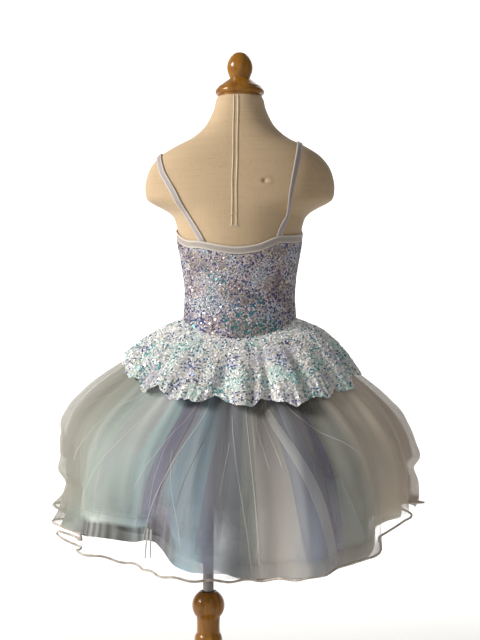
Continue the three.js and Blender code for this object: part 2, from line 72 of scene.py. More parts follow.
# Half width, half depth and centre of the form's body at each height.
BODY_SECTIONS = table(
    "z w d y",
    (590, 92, 70, 0), (597, 106, 82, 0), (612, 114, 88, -1), (640, 119, 91, -2), (675, 117, 90, -2),
    (710, 109, 86, -1), (740, 100, 81, 1), (770, 95.5, 77.5, 3), (800, 93.5, 76, 4), (825, 93, 76, 4),
    (850, 94.5, 77, 3), (880, 99.5, 79.5, 2), (910, 105, 81.5, 0), (935, 108.5, 82, -1),
    (953, 114, 81.5, -2), (958, 118, 81, -2), (963, 123.5, 80.5, -2), (967.5, 131, 80, -2),
    (972, 139, 79, -2), (975.5, 146.5, 78.3, -2), (979, 153, 77.5, -2), (985, 161, 76, -2),
    (993, 164, 74, -2), (1007, 165, 70.5, -2), (1023, 162.5, 67, -1), (1038, 157.5, 63.5, 0),
    (1051, 149, 60, 1), (1063, 137.5, 57, 2), (1073, 122.5, 54, 3), (1082, 106, 52, 4), (1092, 86, 50, 5),
    (1105, 69, 47.5, 6), (1117, 58.5, 45, 7), (1131, 51, 43, 7.5), (1147, 44.5, 41, 8),
    (1159, 42, 40.3, 8), (1165, 38.8, 38.3, 8),
)

# Height of the bodice's top edge, binding included.
FRONT_EDGE = table(
    "angle z",
    (0, 926), (10, 931), (24, 943), (40, 964), (56, 985), (66, 973), (77, 960), (90, 955), (103, 960),
    (114, 973), (124, 985), (140, 966), (156, 948), (170, 937), (180, 934),
)
BACK_EDGE = table(
    "angle z",
    (180, 934), (188, 931), (198, 924), (206, 919), (220, 912.5), (234, 911), (256, 903.8), (270, 900.5),
    (285, 904), (300, 914), (309, 919.5), (330, 921.5), (360, 926),
)

# How far a strap runs on under the front binding, in degrees round the shoulder.
SEWN_IN = 2.2
# Each strap runs over the shoulder in planes through the middle of the shoulder.
STRAP_CENTRE_Z = 1000
LEFT_STRAP = table(
    "angle x lift twist",
    (-10.2, -63, 0, 0), (45, -118, 0, 0), (90, -139, 0, 0), (112, -137.6, 0, 0), (142.7, -131, 0, 0),
    (168.2, -119.8, 0, 0), (188.8, -107.7, 0, 0), (204.2, -97.3, 0, 0), (218.2, -84.5, 0, 0),
    (225.4, -73.5, 0, 0), (230.5, -63, 0, 0), (233, -58, 0, 0),
)
RIGHT_STRAP = table(
    "angle x lift twist",
    (-11.7, 63, 0, 0), (45, 93, 0, 0), (90, 104, 0, 0), (114, 103.5, 1, -8), (145, 98, 3, -22),
    (165, 94, 4, -30), (193, 88, 4, -38), (217, 81.5, 3, -26), (229.9, 71, 0, 0), (232.5, 69, 0, 0),
)

# How far a skirt stands out from the body and hangs below its own waist, down its length.
FALL_COLUMNS = "down left_out left_drop right_out right_drop back_out back_drop"
PEPLUM_FALL = table(
    FALL_COLUMNS,
    (0, 0, 0, 0, 0, 0, 0), (0.2, 22, 9, 23, 9, 20, 20), (0.4, 43, 20, 45, 21, 39, 41),
    (0.6, 63, 33, 65, 39, 57, 61), (0.8, 81, 47, 83, 60, 75, 81), (1, 99, 61, 99, 83, 92, 100),
)
# How much longer, or in a notch shorter, the peplum is at each place round it, in degrees from the back.
PEPLUM_LOBES = table(
    "turn wide longer",
    (-72, 9, 14), (-56, 7, 18), (-45, 4.5, 28), (-29, 7, 12), (-17, 5, 8), (-9, 4.5, -15), (1, 5, 3),
    (15, 5, -6), (26, 7, 15), (45, 9, 24), (63, 9, 19), (80, 8, 12),
)
TUTU_FALL = table(
    FALL_COLUMNS,
    (0, 0, 0, 0, 0, 0, 0), (0.12, 43, 29, 40, 34, 32, 41), (0.24, 86, 57, 79, 67, 62, 82),
    (0.35, 131, 86, 117, 97, 94, 120), (0.46, 171, 118, 151, 127, 130, 153),
    (0.56, 199, 154, 176, 158, 160, 185), (0.67, 209, 195, 194, 196, 184, 223),
    (0.78, 208, 240, 201, 236, 199, 264), (0.89, 207, 285, 202, 277, 210, 307),
    (1, 215, 328, 198, 315, 217, 350),
)
TUTU_FOLDS = 14
PEPLUM_FOLDS = 12

# ---- Curves and the form's surface ----


def curve_through(rows, along, value):
    """A smooth curve through a table's rows that never overshoots them."""
    x = np.array([row[along] for row in rows], float)
    y = np.array([row[value] for row in rows], float)
    step = np.diff(x)
    slope = np.diff(y) / step
    before, after = slope[:-1], slope[1:]
    same_way = before * after > 0
    middle = np.where(same_way, 2 * before * after / np.where(same_way, before + after, 1), 0)
    tangent = np.concatenate([slope[:1], middle, slope[-1:]])

    def at(where):
        where = np.clip(where, x[0], x[-1])
        i = np.clip(np.searchsorted(x, where, side="right") - 1, 0, len(step) - 1)
        s = (where - x[i]) / step[i]
        bend = y[i] * (1 + 2 * s) * (1 - s) ** 2 + y[i + 1] * s * s * (3 - 2 * s)
        return bend + step[i] * s * (1 - s) * (tangent[i] * (1 - s) - tangent[i + 1] * s)

    return at


def smoothstep(low, high, value):
    t = np.clip((value - low) / (high - low), 0, 1)
    return t * t * (3 - 2 * t)


def between(value, start, full, fade, end):
    """From 0 to 1 between start and full, and back to 0 between fade and end."""
    return smoothstep(start, full, value) * (1 - smoothstep(fade, end, value))


def bell(value, middle, wide):
    """1 at the middle, and down to 0 at both sides."""
    return np.exp(-(((value - middle) / wide) ** 2))


def all_round(count):
    return np.linspace(0, 2 * math.pi, count, endpoint=False)


def unit(vectors):
    return vectors / np.maximum(np.linalg.norm(vectors, axis=-1, keepdims=True), 1e-9)


body_width = curve_through(BODY_SECTIONS, "z", "w")
body_depth = curve_through(BODY_SECTIONS, "z", "d")
body_centre = curve_through(BODY_SECTIONS, "z", "y")


def body_measure(points):
    """Under 1 inside the body, 1 on its surface."""
    x, y, z = np.moveaxis(points, -1, 0)
    across = np.abs(x / body_width(z)) ** SECTION_POWER
    return across + np.abs((y - body_centre(z)) / body_depth(z)) ** SECTION_POWER


def body_normal(points):
    h = 0.05 * np.eye(3)
    return unit(np.stack([body_measure(points + e) - body_measure(points - e) for e in h], -1))


def body_point(angle, z, most_reach=1e9):
    """The point of the body's surface where a thread of the bodice at this angle passes this height."""
    angle, z = np.broadcast_arrays(angle, z)
    cos, sin = np.cos(angle), np.sin(angle)
    reach = np.minimum(body_width(z), most_reach)
    x = reach * np.sign(cos) * np.abs(cos) ** (2 / SECTION_POWER)
    left = np.clip(1 - np.abs(x / body_width(z)) ** SECTION_POWER, 0, None)
    y = body_centre(z) + np.sign(sin) * body_depth(z) * left ** (1 / SECTION_POWER)
    return np.stack([x, y, z + 0.0 * x], -1)


def off_body(points, distance):
    return points + body_normal(points) * np.asarray(distance)[..., None]


def waist_seam_z(angle):
    side = np.sin(angle)
    return WAIST_SEAM_Z - np.where(side > 0, WAIST_SEAM_DIP_FRONT, WAIST_SEAM_DIP_BACK) * side * side


# ---- Making meshes ----


def new_mesh(name, points, faces, uvs=None):
    """A mesh from points in millimetres round the form's axis; uvs has one pair for each face corner."""
    mesh = bpy.data.meshes.new(name)
    placed = (np.asarray(points, float) + (BODY_BESIDE_POLE, 0, 0)) * 0.001
    mesh.from_pydata(placed.tolist(), [], [list(map(int, face)) for face in faces])
    if uvs is not None:
        layer = mesh.uv_layers.new(name="cut")
        layer.data.foreach_set("uv", np.asarray(uvs, float).ravel())
    mesh.shade_smooth()
    mesh.update()
    return mesh


def put(thing):
    bpy.context.scene.collection.objects.link(thing)
    return thing


def add_piece(name, mesh, material, node=None):
    """A finished piece; it takes the place of a solid where its node is given."""
    piece = put(bpy.data.objects.new(name, mesh))
    piece.data.materials.clear()
    piece.data.materials.append(material)
    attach(piece, "root")
    if node:
        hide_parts(node)
    return piece


def grid_faces(columns, rows, ring, flip=False):
    """Quads of a grid whose points run down each column, and their corners' (across, down) in 0 to 1."""
    across = columns if ring else columns + 1
    i, j = np.meshgrid(np.arange(columns), np.arange(rows), indexing="ij")
    i, j = i.ravel(), j.ravel()
    corners = [(i, j), (i, j + 1), (i + 1, j + 1), (i + 1, j)]
    if flip:
        corners.reverse()
    faces = np.stack([(a % across) * (rows + 1) + b for a, b in corners], -1)
    uvs = np.stack([np.stack([a / columns, 1 - b / rows], -1) for a, b in corners], 1)
    return faces, uvs.reshape(-1, 2)


def sheet_mesh(name, grid, ring):
    """One skin of cloth from a grid of points [column, row], facing out."""
    columns, rows = grid.shape[0] - (0 if ring else 1), grid.shape[1] - 1
    faces, uvs = grid_faces(columns, rows, ring)
    return new_mesh(name, grid.reshape(-1, 3), faces, uvs)


def shell_mesh(name, outer, inner, ring):
    """Cloth with a thickness: an outer and an inner skin joined at their edges."""
    columns, rows = outer.shape[0] - (0 if ring else 1), outer.shape[1] - 1
    skin, uvs = grid_faces(columns, rows, ring)
    across, count = outer.shape[0], outer.shape[0] * outer.shape[1]
    back, back_uvs = grid_faces(columns, rows, ring, flip=True)
    i = np.arange(columns)

    def at(column, row):
        return (column % across) * (rows + 1) + row

    top = np.stack([at(i, 0), at(i + 1, 0), at(i + 1, 0) + count, at(i, 0) + count], -1)
    low = np.stack([at(i, rows), at(i, rows) + count, at(i + 1, rows) + count, at(i + 1, rows)], -1)
    rim = np.concatenate([top, low])
    if not ring:
        j = np.arange(rows)
        near, far = at(0, j), at(columns, j)
        start = np.stack([near, near + count, near + 1 + count, near + 1], -1)
        end = np.stack([far, far + 1, far + 1 + count, far + count], -1)
        rim = np.concatenate([rim, start, end])
    rim_uvs = np.zeros((len(rim) * 4, 2))
    points = np.concatenate([outer.reshape(-1, 3), inner.reshape(-1, 3)])
    faces = np.concatenate([skin, back + count, rim])
    return new_mesh(name, points, faces, np.concatenate([uvs, back_uvs, rim_uvs]))


def tube_mesh(name, path, radius, sides=8, ring=False):
    """A tube along a path of points, with closed ends."""
    path = np.asarray(path, float)
    forward = unit(np.roll(path, -1, 0) - np.roll(path, 1, 0) if ring else np.gradient(path, axis=0))
    side = unit(np.cross(forward, np.array([0.02, 0.03, 1.0])))
    up = np.cross(side, forward)
    turn = all_round(sides)[None, :, None]
    radius = np.broadcast_to(radius, len(path))[:, None, None]
    points = path[:, None] + radius * (side[:, None] * np.cos(turn) + up[:, None] * np.sin(turn))
    steps = len(path) if ring else len(path) - 1
    faces = []
    for i in range(steps):
        for k in range(sides):
            a, b, n = i, (i + 1) % len(path), (k + 1) % sides
            faces.append((a * sides + k, b * sides + k, b * sides + n, a * sides + n))
    if not ring:
        faces.append(tuple(range(sides)))
        faces.append(tuple(reversed(range(steps * sides, (steps + 1) * sides))))
    return new_mesh(name, points.reshape(-1, 3), faces)


def turned_mesh(name, profile, centre=(0, 0), sides=96):
    """A turned piece from [radius, height] pairs that start and end on its axis."""
    profile = np.array(profile, float)
    turn = all_round(sides)
    inner = profile[1:-1]
    points = [(centre[0] + r * math.cos(t), centre[1] + r * math.sin(t), z) for r, z in inner for t in turn]
    first, last = len(points), len(points) + 1
    points += [(*centre, profile[0][1]), (*centre, profile[-1][1])]
    faces = []
    for k in range(sides):
        n = (k + 1) % sides
        for ring in range(len(inner) - 1):
            a, b = ring * sides, (ring + 1) * sides
            faces.append((a + k, a + n, b + n, b + k))
        top = (len(inner) - 1) * sides
        faces += [(first, n, k), (last, top + k, top + n)]
    mesh = new_mesh(name, points, faces)
    mesh.set_sharp_from_angle(angle=math.radians(38))
    return mesh


def rounded(points, steps=6):
    """A soft line through [radius, height] points."""
    p = np.array(points, float)
    padded = np.concatenate([2 * p[:1] - p[1:2], p, 2 * p[-1:] - p[-2:-1]])
    line = []
    for a, b, c, d in zip(padded, padded[1:], padded[2:], padded[3:]):
        for t in np.linspace(0, 1, steps, endpoint=False):
            bend = (2 * a - 5 * b + 4 * c - d) * t**2 + (3 * b - a - 3 * c + d) * t**3
            line.append(0.5 * (2 * b + (c - a) * t + bend))
    return [tuple(q) for q in line] + [tuple(p[-1])]


def ball(radius, z, low, high, steps=22):
    """[radius, height] pairs on a ball, from one angle above its middle to another."""
    angles = [math.radians(low + (high - low) * i / steps) for i in range(steps + 1)]
    return [(radius * math.cos(a), z + radius * math.sin(a)) for a in angles]


# ---- Nodes for finishes ----


def feed(tree, value, socket):
    if isinstance(value, bpy.types.NodeSocket):
        tree.links.new(value, socket)
    else:
        socket.default_value = value


def add_node(tree, kind, settings=None, **inputs):
    """A node; each input is given by its name, with _ for a space, or by its number, as in _0."""
    made = tree.nodes.new(kind)
    for key, value in (settings or {}).items():
        setattr(made, key, value)
    for key, value in inputs.items():
        where = int(key[1:]) if key[0] == "_" else key.replace("_", " ")
        feed(tree, value, made.inputs[where])
    return made


def math_node(tree, operation, a, b):
    return add_node(tree, "ShaderNodeMath", {"operation": operation}, _0=a, _1=b).outputs[0]


class Finish:
    """A material in the making: its nodes, and the links between them."""

    def __init__(self, name, **sockets):
        self.material = bpy.data.materials.new(name)
        self.material.use_nodes = True
        self.tree = self.material.node_tree
        self.shader = self.tree.nodes["Principled BSDF"]
        for socket, value in sockets.items():
            self.shader.inputs[socket.replace("_", " ").title().replace("Ior", "IOR")].default_value = value

    def node(self, kind, settings=None, **inputs):
        return add_node(self.tree, kind, settings, **inputs)

    def maths(self, operation, a, b=0.0):
        return math_node(self.tree, operation, a, b)

    def scaled(self, value, by, plus):
        return self.maths("ADD", self.maths("MULTIPLY", value, by), plus)

    def ranged(self, value, low, high):
        """0 at the low value, 1 at the high one, and straight between."""
        return self.node("ShaderNodeMapRange", Value=value, From_Min=low, From_Max=high).outputs[0]

    def mix(self, share, a, b, blend="MIX"):
        settings = {"data_type": "RGBA", "blend_type": blend}
        return self.node("ShaderNodeMix", settings, _0=share, _6=a, _7=b).outputs[2]

    def ramp(self, value, stops):
        made = self.node("ShaderNodeValToRGB", Fac=value)
        elements = made.color_ramp.elements
        while len(elements) < len(stops):
            elements.new(0.5)
        for element, (position, colour) in zip(elements, stops):
            element.position = position
            element.color = (*colour, 1)
        return made.outputs[0]

    def place(self, stretch=(1, 1, 1), source="Object"):
        where = self.node("ShaderNodeTexCoord").outputs[source]
        return self.node("ShaderNodeMapping", Vector=where, Scale=stretch).outputs[0]

    def noise(self, vector, scale, detail=3.0, rough=0.5):
        made = self.node("ShaderNodeTexNoise", Vector=vector, Scale=scale, Detail=detail, Roughness=rough)
        return made.outputs[0]

    def group(self, tree, **inputs):
        return self.node("ShaderNodeGroup", {"node_tree": tree}, **inputs).outputs

    def into(self, socket, value):
        feed(self.tree, value, self.shader.inputs[socket])

    def bump(self, height, strength, distance):
        made = self.node("ShaderNodeBump", Height=height, Strength=strength, Distance=distance)
        self.into("Normal", made.outputs[0])


def node_group(name, kind, inputs, outputs):
    """An empty node group with named sockets: {name: (socket type, default)}."""
    tree = bpy.data.node_groups.new(name, kind)
    for in_out, sockets in (("INPUT", inputs), ("OUTPUT", outputs)):
        for socket, (socket_type, default) in sockets.items():
            made = tree.interface.new_socket(socket, in_out=in_out, socket_type=socket_type)
            if default is not None:
                made.default_value = default
    return tree, tree.nodes.new("NodeGroupInput").outputs, tree.nodes.new("NodeGroupOutput").inputs


def group_noise(tree, vector, stretch):
    """Noise on a vector that is stretched first."""
    turned_to = add_node(tree, "ShaderNodeMapping", Vector=vector, Scale=stretch).outputs[0]
    return add_node(tree, "ShaderNodeTexNoise", Vector=turned_to, Scale=1.0, Detail=2.0).outputs[0]


FLOAT, VECTOR = "NodeSocketFloat", "NodeSocketVector"
SHAPE_SOCKET = {"Geometry": ("NodeSocketGeometry", None)}
MATERIAL_SOCKET = {"Material": ("NodeSocketMaterial", None)}


def weave_group():
    """Crossed threads with slubs: a height for bump and a shade for colour."""
    tree, given, out = node_group(
        "woven_threads",
        "ShaderNodeTree",
        {"Vector": (VECTOR, None), "Threads": (FLOAT, 900.0), "Slub": (FLOAT, 0.3)},
        {"Height": (FLOAT, None), "Shade": (FLOAT, None)},
    )
    heights = []
    for axis in ("X", "Z"):
        settings = {"wave_type": "BANDS", "bands_direction": axis}
        threads = add_node(
            tree, "ShaderNodeTexWave", settings, Vector=given["Vector"], Scale=given["Threads"],
            Distortion=1.2, Detail_Scale=0.5,
        )
        heights.append(threads.outputs["Fac"])
    slubs = [group_noise(tree, given["Vector"], stretch) for stretch in ((14, 14, 620), (520, 520, 14))]
    slub = math_node(tree, "ADD", *slubs)
    uneven = math_node(tree, "MULTIPLY", slub, given["Slub"])
    tree.links.new(math_node(tree, "ADD", math_node(tree, "MAXIMUM", *heights), uneven), out["Height"])
    tree.links.new(slub, out["Shade"])
    return tree


def gathers_group():
    """Fine gathers that run down a cloth's UV: a height, and thin bright lines on their ridges, a painted
    highlight.
    """
    tree, given, out = node_group(
        "fine_gathers",
        "ShaderNodeTree",
        {"Vector": (VECTOR, None), "Wide": (FLOAT, 130.0), "Fine": (FLOAT, 560.0)},
        {"Height": (FLOAT, None), "Lines": (FLOAT, None)},
    )
    heights = []
    for count, long, share in (("Fine", 2.2, 0.4), ("Wide", 1.1, 0.6)):
        stretch = add_node(tree, "ShaderNodeCombineXYZ", X=given[count], Y=long, Z=1.0).outputs[0]
        heights.append(math_node(tree, "MULTIPLY", group_noise(tree, given["Vector"], stretch), share))
    height = math_node(tree, "ADD", *heights)
    lines = add_node(tree, "ShaderNodeMapRange", Value=height, From_Min=0.53, From_Max=0.66)
    tree.links.new(height, out["Height"])
    tree.links.new(lines.outputs[0], out["Lines"])
    return tree


WOVEN = weave_group()
GATHERS = gathers_group()


def rgb(red, green, blue):
    """A colour in 0 to 255, as mixed on screen, made linear."""
    return tuple(((c / 255 + 0.055) / 1.055) ** 2.4 for c in (red, green, blue))


# Where the linen is pulled in, in metres, on the finished form.
PUCKER_PLACE = (0.101, -0.0689, 1.012)


def linen():
    made = Finish("linen", roughness=0.86, sheen_weight=0.2, sheen_roughness=0.5)
    where = made.place()
    threads = made.group(WOVEN, Vector=where, Threads=640.0, Slub=0.8)
    shade = made.ramp(threads["Shade"], [(0.7, (0.545, 0.405, 0.255)), (1.3, (0.61, 0.46, 0.295))])
    soil = made.ramp(made.noise(where, 7.0, 4.0), [(0.35, (0.9, 0.885, 0.86)), (0.7, (1, 1, 1))])
    made.into("Base Color", made.mix(1.0, shade, soil, "MULTIPLY"))
    off = made.node("ShaderNodeVectorMath", {"operation": "DISTANCE"}, _0=where, _1=PUCKER_PLACE)
    pinched = made.ranged(off.outputs["Value"], 0.007, 0.0)
    dip = made.maths("MULTIPLY", made.maths("MULTIPLY", pinched, pinched), -3.4)
    made.bump(made.maths("ADD", dip, made.maths("MULTIPLY", threads["Height"], 0.05)), 1.0, 0.001)
    return made.material


def turned_wood():
    made = Finish("turned_wood", coat_weight=0.4, coat_roughness=0.08, specular_ior_level=0.3)
    where = made.place((1, 1, 0.1))
    grain = made.noise(where, 150.0, 5.0, 0.65)
    broad = made.noise(where, 34.0, 2.0)
    mixed = made.scaled(grain, 0.5, made.maths("MULTIPLY", broad, 0.5))
    browns = [(0.33, (0.17, 0.062, 0.005)), (0.5, (0.3, 0.125, 0.01)), (0.68, (0.41, 0.195, 0.02))]
    made.into("Base Color", made.ramp(mixed, browns))
    made.into("Roughness", made.scaled(grain, 0.2, 0.25))
    made.bump(grain, 0.04, 0.0005)
    return made.material


def plated_steel():
    made = Finish("plated_steel", metallic=1.0)
    where = made.place((1, 1, 0.02))
    brushed = made.noise(where, 900.0, 2.0)
    spots = made.noise(made.place(), 60.0, 4.0)
    made.into("Base Color", made.ramp(spots, [(0.3, (0.15, 0.135, 0.135)), (0.65, (0.27, 0.25, 0.25))]))
    made.into("Roughness", made.scaled(brushed, 0.2, 0.18))
    made.bump(brushed, 0.05, 0.0002)
    return made.material


def elastic(name, edge, middle):
    """Fold-over elastic or tape: lighter rolled edges and a duller ribbed middle, across its own UV. The
    lighter edges are partly the elastic's own tone and partly a painted highlight where they catch the
    light.
    """
    made = Finish(name, roughness=0.6, sheen_weight=0.3)
    uv = made.node("ShaderNodeTexCoord").outputs["UV"]
    across = made.node("ShaderNodeSeparateXYZ", Vector=uv).outputs[1]
    off_centre = made.maths("ABSOLUTE", made.maths("SUBTRACT", across, 0.5))
    share = made.ranged(off_centre, 0.2, 0.36)
    made.into("Base Color", made.mix(share, (*middle, 1), (*edge, 1)))
    flat = made.place((1, 1, 1), "UV")
    ribs = made.node("ShaderNodeTexWave", {"bands_direction": "X"}, Vector=flat, Scale=60.0)
    weave = made.group(WOVEN, Vector=made.place(), Threads=700.0, Slub=0.2)
    made.bump(made.maths("ADD", ribs.outputs["Fac"], weave["Height"]), 0.25, 0.0003)
    return made.material


def sequin_knit(name, low, high):
    made = Finish(name, roughness=0.75, sheen_weight=0.2)
    where = made.place()
    made.into("Base Color", made.ramp(made.noise(where, 26.0, 3.0), [(0.3, low), (0.7, high)]))
    made.bump(made.group(WOVEN, Vector=where, Threads=800.0, Slub=0.1)["Height"], 0.2, 0.0003)
    return made.material


# Heights in metres between which the peplum is whitened towards its seam, a painted highlight for its top
# that faces up to the light, and the bodice darkens to its waist.
SEAM_HIGHLIGHT_BAND = (0.735, 0.76)
WAIST_BAND = (0.84, 0.77)
# The share of dark sequins that stray outside the drifts, and the tone above which a sequin is gold.
STRAY_SHARE = 0.035
GOLD_TONE = 0.99


def sequin_foil(name, ground, specks, share, low, dull, seam_highlight):
    """Iridescent foil: a pale ground that drifts from tone to tone, with darker sequins in drifts among it.

    share is how many are dark in a drift, and low how many more at the bodice's waist; dull greys the pale
    ones, and the last argument whitens them near the peplum's seam as a painted highlight.
    """
    made = Finish(name, specular_ior_level=0.6)
    tone = made.node("ShaderNodeAttribute", {"attribute_name": "tone"}).outputs["Fac"]
    where = made.place()
    scatter = made.maths("FRACT", made.maths("MULTIPLY", tone, 37.0))
    jitter = made.maths("MULTIPLY", made.maths("SUBTRACT", scatter, 0.5), 0.2)
    pale = made.ramp(made.maths("ADD", made.noise(where, 24.0, 3.0), jitter), ground)
    pale = made.mix(made.maths("MULTIPLY", scatter, dull), pale, (0.3, 0.28, 0.3, 1))
    height = made.node("ShaderNodeSeparateXYZ", Vector=where).outputs[2]
    # Painted highlight: the pale sequins whiten towards the peplum's seam, where its top faces up to the
    # light.
    seam = made.ranged(height, *SEAM_HIGHLIGHT_BAND)
    pale = made.mix(made.maths("MULTIPLY", seam, seam_highlight), pale, (1, 1, 1, 1))
    crowd = made.ranged(made.noise(where, 36.0, 3.0), 0.42, 0.64)
    waist = made.ranged(height, *WAIST_BAND)
    some = made.scaled(crowd, share, made.maths("MULTIPLY", waist, low))
    some = made.maths("ADD", some, STRAY_SHARE)
    dark = made.ramp(made.maths("ADD", made.noise(where, 15.0, 1.0), jitter), specks)
    colour = made.mix(made.maths("LESS_THAN", tone, some), pale, dark)
    colour = made.mix(made.maths("GREATER_THAN", tone, GOLD_TONE), colour, (0.9, 0.82, 0.42, 1))
    made.into("Base Color", colour)
    made.into("Metallic", made.maths("MULTIPLY", made.maths("GREATER_THAN", scatter, 0.88), 0.7))
    made.into("Roughness", made.scaled(scatter, -0.25, 0.55))
    return made.material


def tulle(name, streaky):
    """See-through net: tint, density and bright folds come from the cloth, fine gathers from its UV. The
    bright folds are partly denser net and partly a painted highlight, and the gathers' ridges get a painted
    highlight.
    """
    made = Finish(name, roughness=0.7, sheen_weight=0.25, sheen_roughness=0.4)
    tint, dense, crease = (
        made.node("ShaderNodeAttribute", {"attribute_name": name}).outputs[output]
        for name, output in (("tint", "Color"), ("dense", "Fac"), ("crease", "Fac"))
    )
    uv = made.node("ShaderNodeTexCoord").outputs["UV"]
    net = made.group(GATHERS, Vector=uv, Wide=130.0, Fine=560.0)
    # Painted highlight: the net whitens on the gathers' ridges and along its folds, which are partly denser
    # net too.
    light = made.scaled(net["Lines"], 0.13, made.maths("MULTIPLY", crease, 0.7))
    made.into("Base Color", made.mix(made.maths("MINIMUM", light, 0.85), tint, (*PALE_NET, 1)))
    uneven = made.scaled(net["Height"], streaky, 1.0 - 0.5 * streaky)
    solid = made.scaled(dense, uneven, made.maths("MULTIPLY", crease, 0.45))
    made.into("Alpha", made.maths("MINIMUM", solid, 1.0))
    made.bump(net["Height"], 0.14, 0.0015)
    return made.material


def satin_cord():
    made = Finish("hem_satin", roughness=0.45, sheen_weight=0.3)
    where = made.place()
    twist = [(0.3, (0.34, 0.28, 0.235)), (0.7, (0.66, 0.6, 0.55))]
    made.into("Base Color", made.ramp(made.noise(where, 90.0, 2.0), twist))
    made.bump(made.noise(where, 700.0, 2.0), 0.3, 0.0003)
    return made.material


# ---- Sequins and stitches, by Geometry Nodes ----


def end_tree(tree, instances, given, out):
    """The end of a tree: its instances made real, in their material."""
    real = add_node(tree, "GeometryNodeRealizeInstances", Geometry=instances).outputs[0]
    finished = add_node(tree, "GeometryNodeSetMaterial", Geometry=real, Material=given["Material"])
    tree.links.new(finished.outputs[0], out["Geometry"])
    return tree


def scatter_sequins():
    """Sequins over a cloth's face: each lies on the surface, a little tilted, with a tone of its own."""
    tree, given, out = node_group(
        "scatter_sequins",
        "GeometryNodeTree",
        SHAPE_SOCKET
        | {"Spacing": (FLOAT, 0.0025), "Width": (FLOAT, 0.003), "Tilt": (FLOAT, 0.4)}
        | {"Seed": ("NodeSocketInt", 1)}
        | MATERIAL_SOCKET,
        SHAPE_SOCKET,
    )
    spread = add_node(
        tree, "GeometryNodeDistributePointsOnFaces", {"distribute_method": "POISSON"},
        Mesh=given["Geometry"], Distance_Min=given["Spacing"], Density_Max=400000.0, Seed=given["Seed"],
    )
    radius = math_node(tree, "MULTIPLY", given["Width"], 0.5)
    disc = add_node(tree, "GeometryNodeMeshCircle", {"fill_type": "NGON"}, Vertices=7, Radius=radius)
    low = math_node(tree, "MULTIPLY", given["Tilt"], -1.0)
    tilt_low = add_node(tree, "ShaderNodeCombineXYZ", X=low, Y=low, Z=0.0).outputs[0]
    tilt_high = add_node(tree, "ShaderNodeCombineXYZ", X=given["Tilt"], Y=given["Tilt"], Z=3.0).outputs[0]
    tilt = add_node(
        tree, "FunctionNodeRandomValue", {"data_type": "FLOAT_VECTOR"},
        _0=tilt_low, _1=tilt_high, Seed=given["Seed"],
    )
    leaned = add_node(tree, "FunctionNodeEulerToRotation", _0=tilt.outputs[0])
    turned_to = add_node(
        tree, "FunctionNodeRotateRotation", {"rotation_space": "LOCAL"},
        Rotation=spread.outputs["Rotation"], Rotate_By=leaned.outputs[0],
    )
    size = add_node(tree, "FunctionNodeRandomValue", {"data_type": "FLOAT"}, _2=0.82, _3=1.12, Seed=3)
    placed = add_node(
        tree, "GeometryNodeInstanceOnPoints", Points=spread.outputs["Points"],
        Instance=disc.outputs["Mesh"], Rotation=turned_to.outputs[0], Scale=size.outputs[1],
    )
    raised = add_node(
        tree, "GeometryNodeTranslateInstances", Instances=placed.outputs[0], Translation=(0, 0, 0.0007),
    )
    tone = add_node(tree, "FunctionNodeRandomValue", {"data_type": "FLOAT"}, Seed=11)
    named = add_node(
        tree, "GeometryNodeStoreNamedAttribute", {"data_type": "FLOAT", "domain": "INSTANCE"},
        Geometry=raised.outputs[0], Name="tone", Value=tone.outputs[1],
    )
    return end_tree(tree, named.outputs[0], given, out)


def stitch_row():
    """Short thread stitches along a line, a step apart."""
    tree, given, out = node_group(
        "stitch_row",
        "GeometryNodeTree",
        SHAPE_SOCKET
        | {"Step": (FLOAT, 0.0032), "Long": (FLOAT, 0.0024), "Thread": (FLOAT, 0.00028)}
        | MATERIAL_SOCKET,
        SHAPE_SOCKET,
    )
    line = add_node(tree, "GeometryNodeMeshToCurve", Mesh=given["Geometry"])
    dots = add_node(
        tree, "GeometryNodeCurveToPoints", {"mode": "LENGTH"}, Curve=line.outputs[0], Length=given["Step"],
    )
    thread = add_node(
        tree, "GeometryNodeMeshCylinder", Vertices=5, Side_Segments=1, Fill_Segments=1,
        Radius=given["Thread"], Depth=given["Long"],
    )
    placed = add_node(
        tree, "GeometryNodeInstanceOnPoints", Points=dots.outputs["Points"],
        Instance=thread.outputs["Mesh"], Rotation=dots.outputs["Rotation"],
    )
    return end_tree(tree, placed.outputs[0], given, out)


def grown(name, mesh, tree, material, slot, **values):
    """A plain mesh of what a Geometry Nodes tree makes on a mesh."""
    holder = put(bpy.data.objects.new(name, mesh))
    modifier = holder.modifiers.new(name, "NODES")
    modifier.node_group = tree
    for item in tree.interface.items_tree:
        if item.in_out == "INPUT" and item.name in values:
            modifier[item.identifier] = values[item.name]
        if item.in_out == "INPUT" and item.name == "Material":
            modifier[item.identifier] = material
    seen = holder.evaluated_get(bpy.context.evaluated_depsgraph_get())
    made = bpy.data.meshes.new_from_object(seen)
    made.name = name
    bpy.data.objects.remove(holder)
    return add_piece(name, made, material)


# ---- Finishes of the dress ----

LINEN = linen()
WOOD = turned_wood()
STEEL = plated_steel()
ELASTIC = elastic("binding_elastic", (0.65, 0.6, 0.55), (0.4, 0.355, 0.33))
# The strap tape's darker middle is painted shade, for the face of the strap that turns away from the light.
TAPE = elastic("strap_tape", (0.6, 0.55, 0.52), (0.4, 0.35, 0.345))
BODICE_KNIT = sequin_knit("bodice_knit", (0.2, 0.175, 0.185), (0.34, 0.32, 0.34))
PEPLUM_KNIT = sequin_knit("peplum_knit", (0.6, 0.62, 0.64), (0.76, 0.78, 0.8))
CORD = satin_cord()
THREAD = satin_cord()
# The raised seams are a lighter cream than the linen, partly a painted highlight so that the cords read
# bright over their own shade.
WELT = sequin_knit("linen_welt", (0.66, 0.55, 0.4), (0.76, 0.65, 0.5))

